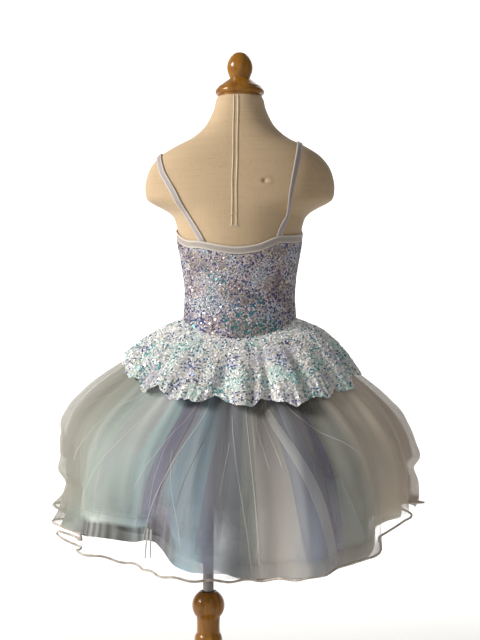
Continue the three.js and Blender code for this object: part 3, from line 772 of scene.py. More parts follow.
WHITE, CREAM, MINT_FOIL = (0.93, 0.95, 0.95), (0.93, 0.85, 0.8), (0.62, 0.88, 0.84)
LILAC, PINK, GREY = (0.56, 0.52, 0.62), (0.72, 0.56, 0.58), (0.44, 0.41, 0.42)
BROWN_GREY, PALE_GREY = (0.34, 0.29, 0.28), (0.62, 0.6, 0.62)
PALE_LILAC, SILVER = (0.7, 0.68, 0.8), (0.78, 0.82, 0.84)
TEAL, TURQUOISE = (0.01, 0.22, 0.24), (0.06, 0.4, 0.44)
BLUE, INDIGO, PLUM = (0.04, 0.1, 0.38), (0.03, 0.03, 0.17), (0.12, 0.06, 0.2)
ICE_BLUE = (0.6, 0.68, 0.78)
BODICE_FOIL = sequin_foil(
    "bodice_foil",
    [(0.32, BROWN_GREY), (0.42, GREY), (0.47, PINK), (0.52, PALE_GREY), (0.58, LILAC), (0.65, ICE_BLUE)],
    [(0.3, PLUM), (0.42, INDIGO), (0.51, BLUE), (0.61, TEAL)],
    share=0.24, low=0.16, dull=0.22, seam_highlight=0.0,
)
PEPLUM_FOIL = sequin_foil(
    "peplum_foil",
    [(0.32, PALE_LILAC), (0.4, SILVER), (0.46, WHITE), (0.51, CREAM), (0.56, WHITE), (0.62, MINT_FOIL)],
    [(0.32, INDIGO), (0.42, BLUE), (0.5, TEAL), (0.62, TURQUOISE)],
    share=0.3, low=0.0, dull=0.08, seam_highlight=0.9,
)
SEQUINS = scatter_sequins()
STITCHES = stitch_row()

# ---- The stand ----

# Outlines of the turned pieces, in millimetres from their axis and above the floor.
FOOT_RIM = [(163, 0), (168.5, 2.2), (171.5, 7), (172, 12), (169.5, 17.5), (164, 21), (158, 22)]
POST_SOCKET = [(0, 268), (11, 268), (11, 299)]
POST_TURNING = [
    (20.3, 253), (19.8, 241), (20.3, 229), (23, 223.5), (24.5, 215), (25, 190), (26, 155), (27.6, 110),
    (29, 80), (31, 58), (38, 44), (48, 36), (50.3, 29), (50, 22.3),
]
POLE = [(0, 268.3), (9.5, 268.3), (9.5, 563.4), (0, 563.4)]
FLANGE = [
    (0, 563.7), (13, 563.7), (14, 564.7), (14, 585.7), (29, 585.7), (30, 586.7), (30, 589.7), (0, 589.7),
]


def add_turned(name, outline, material, node, centre=(-BODY_BESIDE_POLE, 0), steps=64):
    add_piece(name, turned_mesh(name, outline, centre, steps), material, node)


def make_stand():
    foot = [(0, 0)] + rounded(FOOT_RIM) + [(0, 22)]
    add_turned("turned_foot", foot, WOOD, "stand_base", steps=160)
    top = ball(28.5, 276.5, low=59, high=-43, steps=26)
    post = POST_SOCKET + top + rounded(POST_TURNING) + [(0, 22.3)]
    add_turned("turned_post", post[::-1], WOOD, "stand_post", steps=96)
    add_turned("steel_pole", POLE, STEEL, "pole")
    add_turned("steel_flange", FLANGE, STEEL, "pole_flange")


# ---- The form ----

FORM_LOW, FORM_TOP = 590, 1165
SEAM_X = -5.0
PUCKER = (46.0, 1012.0)
# Outline of the neck cap above the form: its rim, its dome and its finial.
CAP_BASE = 1165.3
CAP_RIM = [(38.6, 0.3), (38.8, 2.8), (39.6, 3.8), (41.6, 5), (42.8, 7.4), (42.9, 10.4), (41.8, 13)]
CAP_DOME = [
    (41, 13.6), (40, 14.8), (38.4, 17.4), (34.4, 20.4), (29.6, 24), (24.8, 27.6), (20.4, 30.8),
    (17.8, 32.6),
]
CAP_FINIAL = [
    (17.4, 33.4), (19.3, 38), (21.5, 44.3), (22.6, 50.8), (22.1, 57.5), (19.7, 64.4), (15.6, 71),
    (9.6, 76.4), (4, 78.3),
]


def make_form():
    heights = np.concatenate([
        np.linspace(FORM_LOW, 612, 10, endpoint=False), np.linspace(612, 935, 60, endpoint=False),
        np.linspace(935, 1000, 34, endpoint=False), np.linspace(1000, FORM_TOP, 66),
    ])
    angles = all_round(192)
    grid = body_point(angles[:, None], heights[::-1][None, :])
    beside_pucker = np.hypot(grid[..., 0] - PUCKER[0], grid[..., 2] - PUCKER[1])
    pulled = np.where(grid[..., 1] < 0, 3.4 * bell(beside_pucker, 0, 3.4), 0)
    pulled = pulled - np.where(grid[..., 1] < 0, 1.2 * bell(beside_pucker, 7, 3), 0)
    points = off_body(grid, -pulled).reshape(-1, 3)
    sides, side_uvs = grid_faces(len(angles), len(heights) - 1, True)
    rows = len(heights)
    faces = [tuple(f) for f in sides]
    uvs = list(side_uvs)
    for row, z, flip in ((0, FORM_TOP, False), (rows - 1, FORM_LOW, True)):
        points = np.vstack([points, [0, body_centre(z), z]])
        middle = len(points) - 1
        for i in range(len(angles)):
            a, b = i * rows + row, ((i + 1) % len(angles)) * rows + row
            faces.append((middle, b, a) if flip else (middle, a, b))
            uvs += [(0, 0)] * 3
    mesh = new_mesh("linen_form", points, faces, uvs)
    mesh.set_sharp_from_angle(angle=math.radians(50))
    add_piece("linen_form", mesh, LINEN, "form_body")


def add_welt(name, x, z, lift, radius):
    """A raised seam in the linen, along x and z on the form's back."""
    round_share = (1 - np.abs(x / body_width(z)) ** SECTION_POWER) ** (1 / SECTION_POWER)
    path = np.stack([x, body_centre(z) - body_depth(z) * round_share, z], -1)
    add_piece(name, tube_mesh(name, off_body(path, lift + 0 * z), radius, 10), WELT)


def make_welts():
    for side, offset in (("left", -3.6), ("right", 3.6)):
        z = np.linspace(1163, 936, 90)
        x = SEAM_X + offset + 0.35 * np.sin(z * 0.07 + offset)
        add_welt(f"form_welt_{side}", x, z, lift=0.2, radius=1.05)
    x = np.linspace(SEAM_X - 7.5, SEAM_X + 7.5, 16)
    add_welt("form_welt_bar", x, 935.5 + 0 * x, lift=0.3, radius=1.0)


def make_cap():
    cap = [(0, 0), (38.4, 0)] + rounded(CAP_RIM) + rounded(CAP_DOME) + rounded(CAP_FINIAL) + [(0, 78.6)]
    cap = [(r, CAP_BASE + z) for r, z in cap]
    add_turned("turned_cap", cap, WOOD, "neck_cap", centre=(0, 8), steps=128)


# ---- Bodice, binding and straps ----


def edge_slant(edge, angle):
    step = math.radians(2)
    rise = edge(np.degrees(angle + step)) - edge(np.degrees(angle - step))
    return np.minimum(1.7, np.hypot(1, rise / (2 * step * CHEST_HALF_WIDTH)))


def elastic_thickness(across, edge, middle, rim):
    """How thick an elastic is across its width: thin edges, a flat middle and two raised rims."""
    off_centre = np.abs(across - 0.5)
    round_edge = np.sqrt(np.clip(1 - (2 * off_centre) ** 6, 0, 1))
    return edge + middle * round_edge + rim * bell(off_centre, 0.4, 0.1) * round_edge


def add_sequinned(part, node, outer, inner, ring, knit, foil, spacing, seed):
    """Sequin cloth: the knit in place of its solid, and the sequins on its outer face."""
    mesh = shell_mesh(f"knit_{part}", outer, inner, ring)
    cloth = add_piece(f"knit_{part}", mesh, knit, node)
    sequins = grown(
        f"sequins_{part}", sheet_mesh(f"face_{part}", outer, ring), SEQUINS, foil, "sequin_cloth",
        Spacing=spacing, Width=SEQUIN_WIDE * 0.001, Tilt=0.45, Seed=seed,
    )
    return cloth, sequins


def make_bodice_half(half, edge, seed):
    gap = 0.15 / CHEST_HALF_WIDTH
    first, last = (0, math.pi) if half == "front" else (math.pi, 2 * math.pi)
    angle = np.linspace(first + gap, last - gap, 131)[:, None]
    top = edge(np.degrees(angle))
    slant = edge_slant(edge, angle)
    binding_low = top - BINDING_WIDE * slant
    down = np.linspace(0, 1, 61)[None, :]
    z = binding_low - 0.4 * slant + (waist_seam_z(angle) + 0.3 - binding_low + 0.4 * slant) * down
    base = body_point(angle, z, CHEST_HALF_WIDTH)
    pull = 0.5 * np.sin(9 * angle + 2.2 * np.sin(5 * down + 3 * angle)) * np.sin(math.pi * down) ** 2
    thick = 0 * z + BODICE_THICK - 0.6 + pull * (down > 0)
    inner = off_body(base, BODICE_CLEAR + 0 * z)
    outer = off_body(base, BODICE_CLEAR + thick)
    cloth, sequins = add_sequinned(
        half, f"bodice_{half}", outer, inner, False, BODICE_KNIT, BODICE_FOIL, spacing=0.00225, seed=seed,
    )

    across = np.linspace(0, 1, 17)[None, :]
    z = top + (binding_low - top) * across
    base = body_point(angle, z, CHEST_HALF_WIDTH)
    thick = elastic_thickness(across, edge=0.5, middle=BINDING_THICK - 1.3, rim=0.9)
    inner = off_body(base, BODICE_CLEAR + 0 * z)
    outer = off_body(base, BODICE_CLEAR + thick + 0 * z)
    name = f"elastic_{half}"
    mesh = shell_mesh(name, outer, inner, False)
    binding = add_piece(name, mesh, ELASTIC, f"binding_{half}")
    turn, z = angle[:, 0], (top - 0.74 * (top - binding_low))[:, 0]
    line = off_body(body_point(turn, z, CHEST_HALF_WIDTH), BODICE_CLEAR + 1.35 + 0 * turn)
    stitches = edge_stitches(f"binding_stitches_{half}", line)


def edge_stitches(name, line):
    mesh = bpy.data.meshes.new(name)
    placed = (np.asarray(line) + (BODY_BESIDE_POLE, 0, 0)) * 0.001
    mesh.from_pydata(placed.tolist(), [(i, i + 1) for i in range(len(line) - 1)], [])
    return grown(name, mesh, STITCHES, THREAD, "binding_elastic", Step=0.0034, Long=0.0023, Thread=0.0003)


def on_body_over_shoulder(angle, x):
    """Where a plane at x, at this angle round the middle of the shoulder, meets the form."""
    dy, dz = np.cos(np.radians(angle)), np.sin(np.radians(angle))
    inside, outside = 0 * angle, 0 * angle + 220
    for _ in range(24):
        reach = (inside + outside) / 2
        within = body_measure(np.stack([x, reach * dy, STRAP_CENTRE_Z + reach * dz], -1)) < 1
        inside, outside = np.where(within, reach, inside), np.where(within, outside, reach)
    return np.stack([x, inside * dy, STRAP_CENTRE_Z + inside * dz], -1)


def make_strap(side, rows):
    x_at, lift_at, twist_at = (curve_through(rows, "angle", value) for value in ("x", "lift", "twist"))
    along = np.linspace(0, 1, 141)
    first, last = rows[-1]["angle"], rows[0]["angle"] - SEWN_IN
    angle = first + (last - first) * along
    centre = on_body_over_shoulder(angle, x_at(angle))
    normal = body_normal(centre)
    ahead = on_body_over_shoulder(angle - 0.5, x_at(angle - 0.5))
    forward = unit(ahead - on_body_over_shoulder(angle + 0.5, x_at(angle + 0.5)))
    sideways = unit(np.cross(forward, normal))
    normal = unit(np.cross(sideways, forward))
    near_end = smoothstep(0.42, 0.5, np.abs(along - 0.5))[:, None]
    sideways = sideways + forward * (-near_end * forward[:, :1] / sideways[:, :1])
    twist = np.radians(twist_at(angle))[:, None]
    widthways = sideways * np.cos(twist) + normal * np.sin(twist)
    outwards = normal * np.cos(twist) - sideways * np.sin(twist)
    lift = (CLOTH_CLEAR_OF_FORM + lift_at(angle) + 0.25 * np.sin(along * 40))[:, None]
    across = np.linspace(0, 1, 13)[None, :, None]
    middle = (centre + normal * lift)[:, None]
    flat = middle + widthways[:, None] * (across - 0.5) * STRAP_WIDE
    thick = elastic_thickness(across, edge=0.35, middle=0.75, rim=0.45)
    outer = flat + outwards[:, None] * thick
    name = f"tape_{side}"
    mesh = shell_mesh(name, outer, flat, False)
    recalculate(mesh)
    strap = add_piece(name, mesh, TAPE, f"strap_{side}")
    line = (middle + widthways[:, None] * 0.26 * STRAP_WIDE + outwards[:, None] * 1.12)[:, 0]
    stitches = edge_stitches(f"strap_stitches_{side}", line)
    length = float(np.linalg.norm(np.diff(centre, axis=0), axis=1).sum()) * 0.001
    flat = (round(length, 3), STRAP_WIDE * 0.001)


def recalculate(mesh):
    edit = bmesh.new()
    edit.from_mesh(mesh)
    bmesh.ops.recalc_face_normals(edit, faces=edit.faces)
    edit.to_mesh(mesh)
    edit.free()


# ---- Skirts ----


def tutu_fold(angle):
    phase = TUTU_FOLDS * (angle + 0.1 * np.sin(2 * angle + 0.6) + 0.05 * np.sin(3 * angle + 2.1))
    return np.cos(phase) * (0.82 + 0.18 * np.sin(3 * angle + 0.8))


def peplum_fold(angle):
    phase = PEPLUM_FOLDS * (angle + 0.07 * np.sin(2 * angle + 1.4) + 0.04 * np.sin(5 * angle + 0.3))
    wave = np.cos(phase) * (0.8 + 0.2 * np.sin(2 * angle + 2.6))
    return np.where(wave > 0, wave, 0.15 * wave)


# Troughs and ridges that run up the peplum from its hem: place, width in degrees, and depth.
PEPLUM_CREASES = [
    (-68, 3, -5), (-47, 3.2, -8), (-39, 3, 4), (-31, 2.5, -4), (-17, 3, 4), (-9, 2.8, -9), (-1, 3, 4),
    (8, 2.2, -3), (15, 2.8, -7), (23, 3, 4), (35, 2.8, -7), (44, 3, 4), (54, 2.8, -7), (63, 3, 4),
    (73, 3, -5), (92, 3, -6), (112, 4, -5), (128, 3, 4), (139, 3, -7), (158, 3, 4), (170, 3, -7),
    (192, 4, 4), (205, 3, -7), (226, 3, 4), (238, 3, -6), (262, 3, -5),
]


def peplum_lobes(angle):
    longer = 0 * angle
    for lobe in PEPLUM_LOBES:
        off = (turn_from_back(angle) - lobe["turn"] + 180) % 360 - 180
        longer = longer + lobe["longer"] * bell(off, 0, lobe["wide"])
    return longer


def turn_from_back(angle):
    return (np.degrees(angle) - 270 + 180) % 360 - 180


def skirt_points(
    angle, down, fall, fold_at, below, clear,
    length=1, inset=0, fold=0, growth=1.8, lobe=0, extra=0, longer=0,
):
    """A skirt's outer face: it starts on the body below the waist seam and stands out in folds."""
    curves = {name: curve_through(fall, "down", name) for name in FALL_COLUMNS.split()[1:]}
    side = np.cos(angle) ** 2
    right = smoothstep(-0.5, 0.5, np.cos(angle))

    def at(along):
        values = []
        for kind in ("out", "drop"):
            left_value, right_value = curves[f"left_{kind}"](along), curves[f"right_{kind}"](along)
            sideways = left_value + (right_value - left_value) * right
            back_value = curves[f"back_{kind}"](along)
            values.append(back_value + (sideways - back_value) * side)
        return values

    along = down * length
    out, drop = at(along)
    ahead, behind = at(np.minimum(1, along + 0.02)), at(np.maximum(0, along - 0.02))
    slope_out, slope_drop = ahead[0] - behind[0], ahead[1] - behind[1]
    slant = np.hypot(slope_out, slope_drop)
    depth = fold * down**growth * fold_at(angle) - inset * down + extra
    reach = out + (depth * slope_drop + longer * slope_out) / slant
    sag = lobe * down**3 * np.maximum(0, fold_at(angle))
    start = waist_seam_z(angle) - below
    waist = off_body(body_point(angle, start), clear + 0 * start)
    x = waist[..., 0] + reach * np.cos(angle)
    y = waist[..., 1] + reach * np.sin(angle)
    z = start - drop + (depth * slope_out - longer * slope_drop) / slant - sag
    return np.stack(np.broadcast_arrays(x, y, z), -1)


def ripples(angle, down, count, seed):
    """Uneven fine gathers round a skirt, from -1 to 1, that wander on their way down."""
    shift = 0.05 * np.sin(3 * angle + seed) + 0.02 * np.sin(7 * angle + 2 * seed + 2.5 * down)
    wave = np.sin(count * (angle + shift) + 1.3 * np.sin(5 * angle + seed + 1.5 * down))
    return wave * (0.6 + 0.4 * np.sin(4 * angle + 1.7 * seed + down))


# Soft creases in the tulle: where each lies round the back (degrees from its middle, seen from behind),
# how it drifts on its way down, where it starts and ends, and its width and height.
CREASES = table(
    "turn drift start end wide high",
    (-80, 3, 0.25, 0.9, 3.5, 5), (-66, -6, 0.15, 0.8, 2.2, 4), (-52, 4, 0.3, 1.0, 2.6, 5),
    (-41, -5, 0.2, 1.0, 2.0, 4), (-27, -3, 0.18, 0.85, 1.6, 4), (-14, 5, 0.45, 1.0, 1.6, 4),
    (-4, 2, 0.2, 0.7, 1.8, 3), (7, 3, 0.35, 1.0, 1.8, 3), (15, 8, 0.2, 1.0, 3.0, 6),
    (31, -4, 0.2, 0.9, 2.4, 3), (42, 5, 0.3, 1.0, 2.8, 4), (57, -5, 0.2, 1.0, 2.6, 4),
    (74, 4, 0.3, 0.9, 3.2, 5), (92, -4, 0.2, 1.0, 2.8, 5), (108, 5, 0.25, 0.9, 2.4, 4),
    (121, -3, 0.3, 1.0, 2.0, 5), (137, 4, 0.2, 0.85, 2.2, 5), (149, -5, 0.3, 1.0, 1.8, 4),
    (163, 3, 0.2, 1.0, 2.6, 6), (176, -4, 0.35, 0.95, 2.0, 4), (191, 4, 0.25, 1.0, 2.4, 5),
    (206, -3, 0.2, 0.9, 1.8, 4), (219, 5, 0.3, 1.0, 2.8, 5), (235, -4, 0.2, 0.95, 2.2, 5),
    (254, 4, 0.3, 1.0, 2.8, 5),
)


def creases(angle, down, shift=0.0):
    """Height of the creases, in millimetres, and the same from 0 to 1."""
    high, share = 0 * angle * down, 0 * angle * down
    for crease in CREASES:
        at = math.radians(270 + crease["turn"] + shift) + math.radians(crease["drift"]) * down
        off = np.abs((angle - at + math.pi) % (2 * math.pi) - math.pi)
        wide = math.radians(crease["wide"]) * (0.6 + 0.7 * down)
        ends = smoothstep(crease["start"] - 0.15, crease["start"] + 0.1, down)
        ends = ends * (1 - smoothstep(crease["end"], crease["end"] + 0.12, down) * (crease["end"] < 1))
        ridge = bell(off, 0, wide) * ends
        high, share = high + crease["high"] * ridge, np.maximum(share, ridge)
    return high, share


def add_attribute(mesh, name, values):
    made = mesh.attributes.new(name, "FLOAT", "POINT")
    made.data.foreach_set("value", np.asarray(values, float).ravel())


BEIGE_NET, GREY_MINT, WHITE_MINT = rgb(168, 166, 154), rgb(154, 166, 160), rgb(186, 193, 187)
MINT, BLUE_MINT, TEAL_GREY = rgb(163, 184, 181), rgb(130, 156, 166), rgb(112, 138, 148)
LAVENDER, PINK_GREY, PALE_NET = rgb(128, 120, 146), rgb(158, 150, 156), rgb(214, 212, 206)
SLATE_BLUE, SLATE, SLATE_LILAC = rgb(86, 98, 116), rgb(96, 102, 106), rgb(98, 99, 113)
INDIGO_GREY, GREEN_GREY, LIGHT_GREY = rgb(84, 86, 108), rgb(116, 123, 114), rgb(170, 168, 161)
WARM_GREY, TAUPE, DARK_TAUPE = rgb(142, 137, 130), rgb(146, 135, 123), rgb(100, 92, 88)

# Tint of each layer round the skirt, in degrees from the middle of the back.
TOP_TINTS = table(
    "turn tint",
    (-180, WARM_GREY), (-140, LIGHT_GREY), (-100, BEIGE_NET), (-60, BEIGE_NET), (-40, GREY_MINT),
    (-10, LIGHT_GREY), (25, WARM_GREY), (50, TAUPE), (90, TAUPE), (130, WARM_GREY), (180, WARM_GREY),
)
MIDDLE_TINTS = table(
    "turn tint",
    (-180, GREY_MINT), (-150, LAVENDER), (-120, MINT), (-95, LAVENDER), (-80, GREY_MINT),
    (-50, GREY_MINT), (-44, WHITE_MINT), (-30, MINT), (-27, MINT), (-25, LAVENDER), (-18, LAVENDER),
    (-16, BLUE_MINT), (-9, BLUE_MINT), (-7, SLATE_LILAC), (-2, SLATE), (3, SLATE), (7, WARM_GREY),
    (14, WARM_GREY), (19, SLATE_BLUE), (28, SLATE_LILAC), (34, INDIGO_GREY), (38, GREEN_GREY),
    (48, GREEN_GREY), (55, TAUPE), (85, TAUPE), (105, GREY_MINT), (130, LAVENDER), (155, MINT),
    (180, GREY_MINT),
)
UNDER_TINTS = table(
    "turn tint",
    (-180, LAVENDER), (-130, GREY_MINT), (-90, LAVENDER), (-60, GREY_MINT), (-30, SLATE_LILAC),
    (-12, TEAL_GREY), (0, SLATE), (12, DARK_TAUPE), (28, SLATE_BLUE), (42, SLATE_LILAC), (60, DARK_TAUPE),
    (90, LAVENDER), (140, SLATE_LILAC), (180, LAVENDER),
)

# Gathers laid over a layer: where each starts and ends round the back and down the skirt, its half width in
# degrees at both ends, its tint and how dense it is.
MIDDLE_GATHERS = table(
    "turn turn_low half half_low start end tint dense",
    (-47, -50, 5, 7, 0.06, 0.93, GREY_MINT, 0.4), (-37, -39, 6, 8, 0.06, 0.9, WHITE_MINT, 0.55),
    (-27, -31, 4, 4.5, 0.06, 0.9, MINT, 0.55), (-19, -28, 2.5, 4.2, 0.06, 0.93, LAVENDER, 0.75),
    (-14, -22, 1.5, 1.6, 0.08, 0.95, PINK_GREY, 0.5), (-9, -19, 3.2, 3.0, 0.06, 0.82, BLUE_MINT, 0.75),
    (-6, -10, 2.5, 3.5, 0.06, 0.88, TEAL_GREY, 0.6), (-1, -6, 3.4, 3.0, 0.06, 0.93, SLATE_LILAC, 0.7),
    (3, 0.5, 2.8, 4.2, 0.06, 0.86, SLATE, 0.6), (5.5, 5, 1.6, 3.4, 0.08, 0.97, GREEN_GREY, 0.4),
    (12, 14, 3, 7.5, 0.2, 1.0, WARM_GREY, 0.5), (21, 26, 3.6, 4.6, 0.06, 0.96, SLATE_BLUE, 0.65),
    (29, 33, 4, 5, 0.06, 0.9, INDIGO_GREY, 0.55), (37, 42, 4.5, 6, 0.06, 0.98, GREEN_GREY, 0.55),
    (49, 56, 5, 8, 0.06, 0.95, TAUPE, 0.45), (68, 72, 7, 8, 0.06, 0.98, TAUPE, 0.4),
    (92, 88, 6, 7, 0.06, 0.95, MINT, 0.5), (110, 113, 5, 7, 0.06, 0.98, LAVENDER, 0.5),
    (128, 124, 6, 6, 0.06, 0.93, GREY_MINT, 0.5), (147, 150, 5, 8, 0.06, 1.0, LAVENDER, 0.5),
    (166, 163, 6, 7, 0.06, 0.95, BLUE_MINT, 0.5), (184, 187, 5, 7, 0.06, 0.98, MINT, 0.5),
    (203, 200, 6, 8, 0.06, 0.94, LAVENDER, 0.5), (223, 226, 5, 7, 0.06, 1.0, GREY_MINT, 0.5),
    (244, 241, 6, 7, 0.06, 0.96, LAVENDER, 0.5), (262, 265, 6, 8, 0.06, 0.98, MINT, 0.45),
    (281, 278, 5, 7, 0.06, 0.97, GREY_MINT, 0.4),
)
# The thin pale strips here are bright lines where the net folds over, partly denser net and partly a painted
# highlight.
TOP_GATHERS = table(
    "turn turn_low half half_low start end tint dense",
    (-63, -79, 0.15, 0.18, 0.3, 0.7, PALE_NET, 0.3), (-52, -70, 0.09, 0.15, 0.2, 0.6, PALE_NET, 0.25),
    (-41, -63, 0.15, 0.27, 0.25, 0.72, PALE_NET, 0.25), (-35, -50, 0.09, 0.15, 0.3, 0.95, PALE_NET, 0.2),
    (-15, -33, 0.1, 0.15, 0.2, 0.75, PALE_NET, 0.4), (-10, -28, 0.15, 0.21, 0.2, 0.97, PALE_NET, 0.45),
    # The two dense slate strips below are painted shade, the darkest part of the dark band at the hem.
    (-24.5, -24.9, 0.48, 0.4, 0.84, 0.965, SLATE, 1.3),
    (-22.9, -22.2, 0.45, 0.35, 0.84, 0.955, SLATE, 1.3), (-22, -25, 0.07, 0.12, 0.2, 0.8, PALE_NET, 0.2),
    (-1, -3, 0.075, 0.1, 0.45, 0.7, PALE_NET, 0.45), (-21, -12, 0.075, 0.12, 0.5, 0.9, PALE_NET, 0.35),
    (-1, 6, 0.09, 0.15, 0.3, 1.0, PALE_NET, 0.4), (5, 8, 0.12, 0.18, 0.25, 0.95, PALE_NET, 0.3),
    (9.5, 8, 2.6, 0.4, 0.18, 0.5, LIGHT_GREY, 0.4), (9, 12, 0.075, 0.1, 0.35, 0.6, PALE_NET, 0.3),
    (11, 31, 1.0, 2.6, 0.12, 1.0, LIGHT_GREY, 0.4), (12, 16, 0.07, 0.1, 0.3, 0.6, PALE_NET, 0.3),
    (20, 22, 0.07, 0.1, 0.2, 0.6, PALE_NET, 0.25), (24, 44, 0.21, 0.18, 0.3, 0.62, PALE_NET, 0.25),
    (33, 37, 3.0, 3.2, 0.66, 0.93, MINT, 0.13), (44, 52, 0.09, 0.15, 0.25, 0.95, PALE_NET, 0.15),
    (58, 64, 0.075, 0.15, 0.3, 0.9, PALE_NET, 0.2), (82, 86, 0.12, 0.18, 0.2, 0.9, PALE_NET, 0.3),
    (97, 92, 0.09, 0.15, 0.2, 1.0, PALE_NET, 0.3), (115, 121, 0.5, 1.6, 0.15, 1.0, LIGHT_GREY, 0.35),
    (131, 128, 0.09, 0.15, 0.25, 0.8, PALE_NET, 0.3), (146, 152, 0.12, 0.18, 0.2, 1.0, PALE_NET, 0.3),
    (163, 158, 0.7, 2.2, 0.15, 1.0, LIGHT_GREY, 0.35), (178, 181, 0.09, 0.15, 0.3, 0.9, PALE_NET, 0.3),
    (192, 198, 0.12, 0.21, 0.2, 1.0, PALE_NET, 0.3), (212, 206, 0.09, 0.15, 0.2, 0.8, PALE_NET, 0.3),
    (229, 234, 0.7, 2.0, 0.15, 1.0, LIGHT_GREY, 0.35), (248, 243, 0.09, 0.15, 0.3, 1.0, PALE_NET, 0.3),
    (266, 272, 0.12, 0.18, 0.2, 0.9, PALE_NET, 0.3), (286, 281, 0.09, 0.15, 0.25, 0.85, PALE_NET, 0.25),
)
# The tulle's edge: the share of the full length that it has round the back, in degrees from its middle.
HEM_LENGTH = table(
    "turn share",
    (-180, 0.985), (-95, 0.985), (-76, 1.0), (-62, 0.995), (-50, 0.958), (-42, 0.93), (-33, 0.912),
    (-27, 0.885), (-23, 0.88), (-19, 0.9), (-14, 0.95), (-9, 0.965), (-3, 0.965), (6, 0.985), (20, 0.995),
    (42, 1.0), (50, 0.97), (60, 0.948), (76, 0.95), (95, 0.975), (180, 0.985),
)
hem_length = curve_through(HEM_LENGTH, "turn", "share")


def low_at_right(turn):
    """From 0 to 1 where the inner net reaches down nearly to the top layer's hem."""
    return between(turn, -12, 3, 40, 52)


def hem_sag(turn):
    """How much lower the hem hangs at the back's right, in millimetres."""
    return 12 * bell(turn, 33, 15)


# How much the net's tint is lightened round the skirt, how much more it is lightened on its way down, and
# how cool it is. The lightening is painted light and shade, partly also the net's own tone: it lifts the net
# where it lies in the key light's shade, and darkens it near the top where the peplum's shadow falls.
NET_PAINTED_LIGHT = table(
    "turn pale lower cool",
    (-180, 1, 0.2, 0.3), (-110, 0.95, 0.1, 0), (-66, 0.8, 0.2, 0), (-50, 1.02, 0.4, 0.2),
    (-36, 1.28, -0.9, 0.6), (-27, 0.75, -0.4, 1.2), (-22, 0.66, 0, 1.1), (-14, 0.9, 0.1, 1),
    (-8, 1.0, 1.6, 1), (-4, 1.12, 1.9, 1), (1, 1.35, 0.4, 0.9), (5, 1.25, 0.6, 0.8), (10.5, 0.84, 1, 0.6),
    (17, 1.3, 1.5, 0.5), (24, 2.0, 1.3, 0.5), (32, 1.12, 2.8, 0.5), (41, 1.4, 1, 0.5), (52, 2.5, 0, 0.4),
    (80, 2.1, 0, 0.1), (110, 1.4, 0.1, 0.2), (140, 1.15, 0.2, 0.3), (180, 1, 0.2, 0.3),
)
PAINTED_LIGHT_AT, PAINTED_LIGHT_DOWN_AT, COOL_AT = (curve_through(NET_PAINTED_LIGHT, "turn", name) for name in ("pale", "lower", "cool"))
BRIGHTEST_NET = 0.86
# Colour of the painted shade at the hem, low at the back's left.
HEM_SHADE_TONE = rgb(66, 64, 62)


def tint_at(rows, turn):
    where = [row["turn"] for row in rows]
    bands = np.array([row["tint"] for row in rows])
    return np.stack([np.interp(turn, where, bands[:, i]) for i in range(3)], -1)


def hem_shade_shows(turn, down):
    """From 0 to 1 where a dark band of painted shade lies at the hem, low at the left of the back."""
    place = between(turn, -68, -60, -17, -12)
    uneven = 0.82 + 0.18 * np.sin(1.9 * turn + 3 * np.sin(0.45 * turn))
    starts = 0.925 - 0.07 * bell(turn, -20, 5)
    return place * uneven * smoothstep(starts, starts + 0.01, down)


def net_tint(tint, turn, down, glow):
    # Painted light and shade: the tint is made brighter or darker round the skirt and down it, and glow
    # brightens a whole layer.
    pale = glow * PAINTED_LIGHT_AT(turn) * np.maximum(0.3, 1 + PAINTED_LIGHT_DOWN_AT(turn) * (down - 0.5))
    cool = COOL_AT(turn)
    shifted = tint * np.stack([1 - 0.05 * cool, 1 + 0 * cool, 1 + 0.1 * cool], -1) * pale[..., None]
    return np.minimum(BRIGHTEST_NET, shifted)


# A gather of less than this half width, in degrees, is drawn as a thin bright line of net, partly denser net
# and partly a painted highlight, and not as a fold.
THREAD_HALF = 0.5
# What the top layer and the cord on its hem have in common: start below the seam, and depth of the folds.
TOP_SHAPE = dict(below=7, fold=25)
TULLE_CLEAR = TULLE_CLEAR_OF_FORM + 1


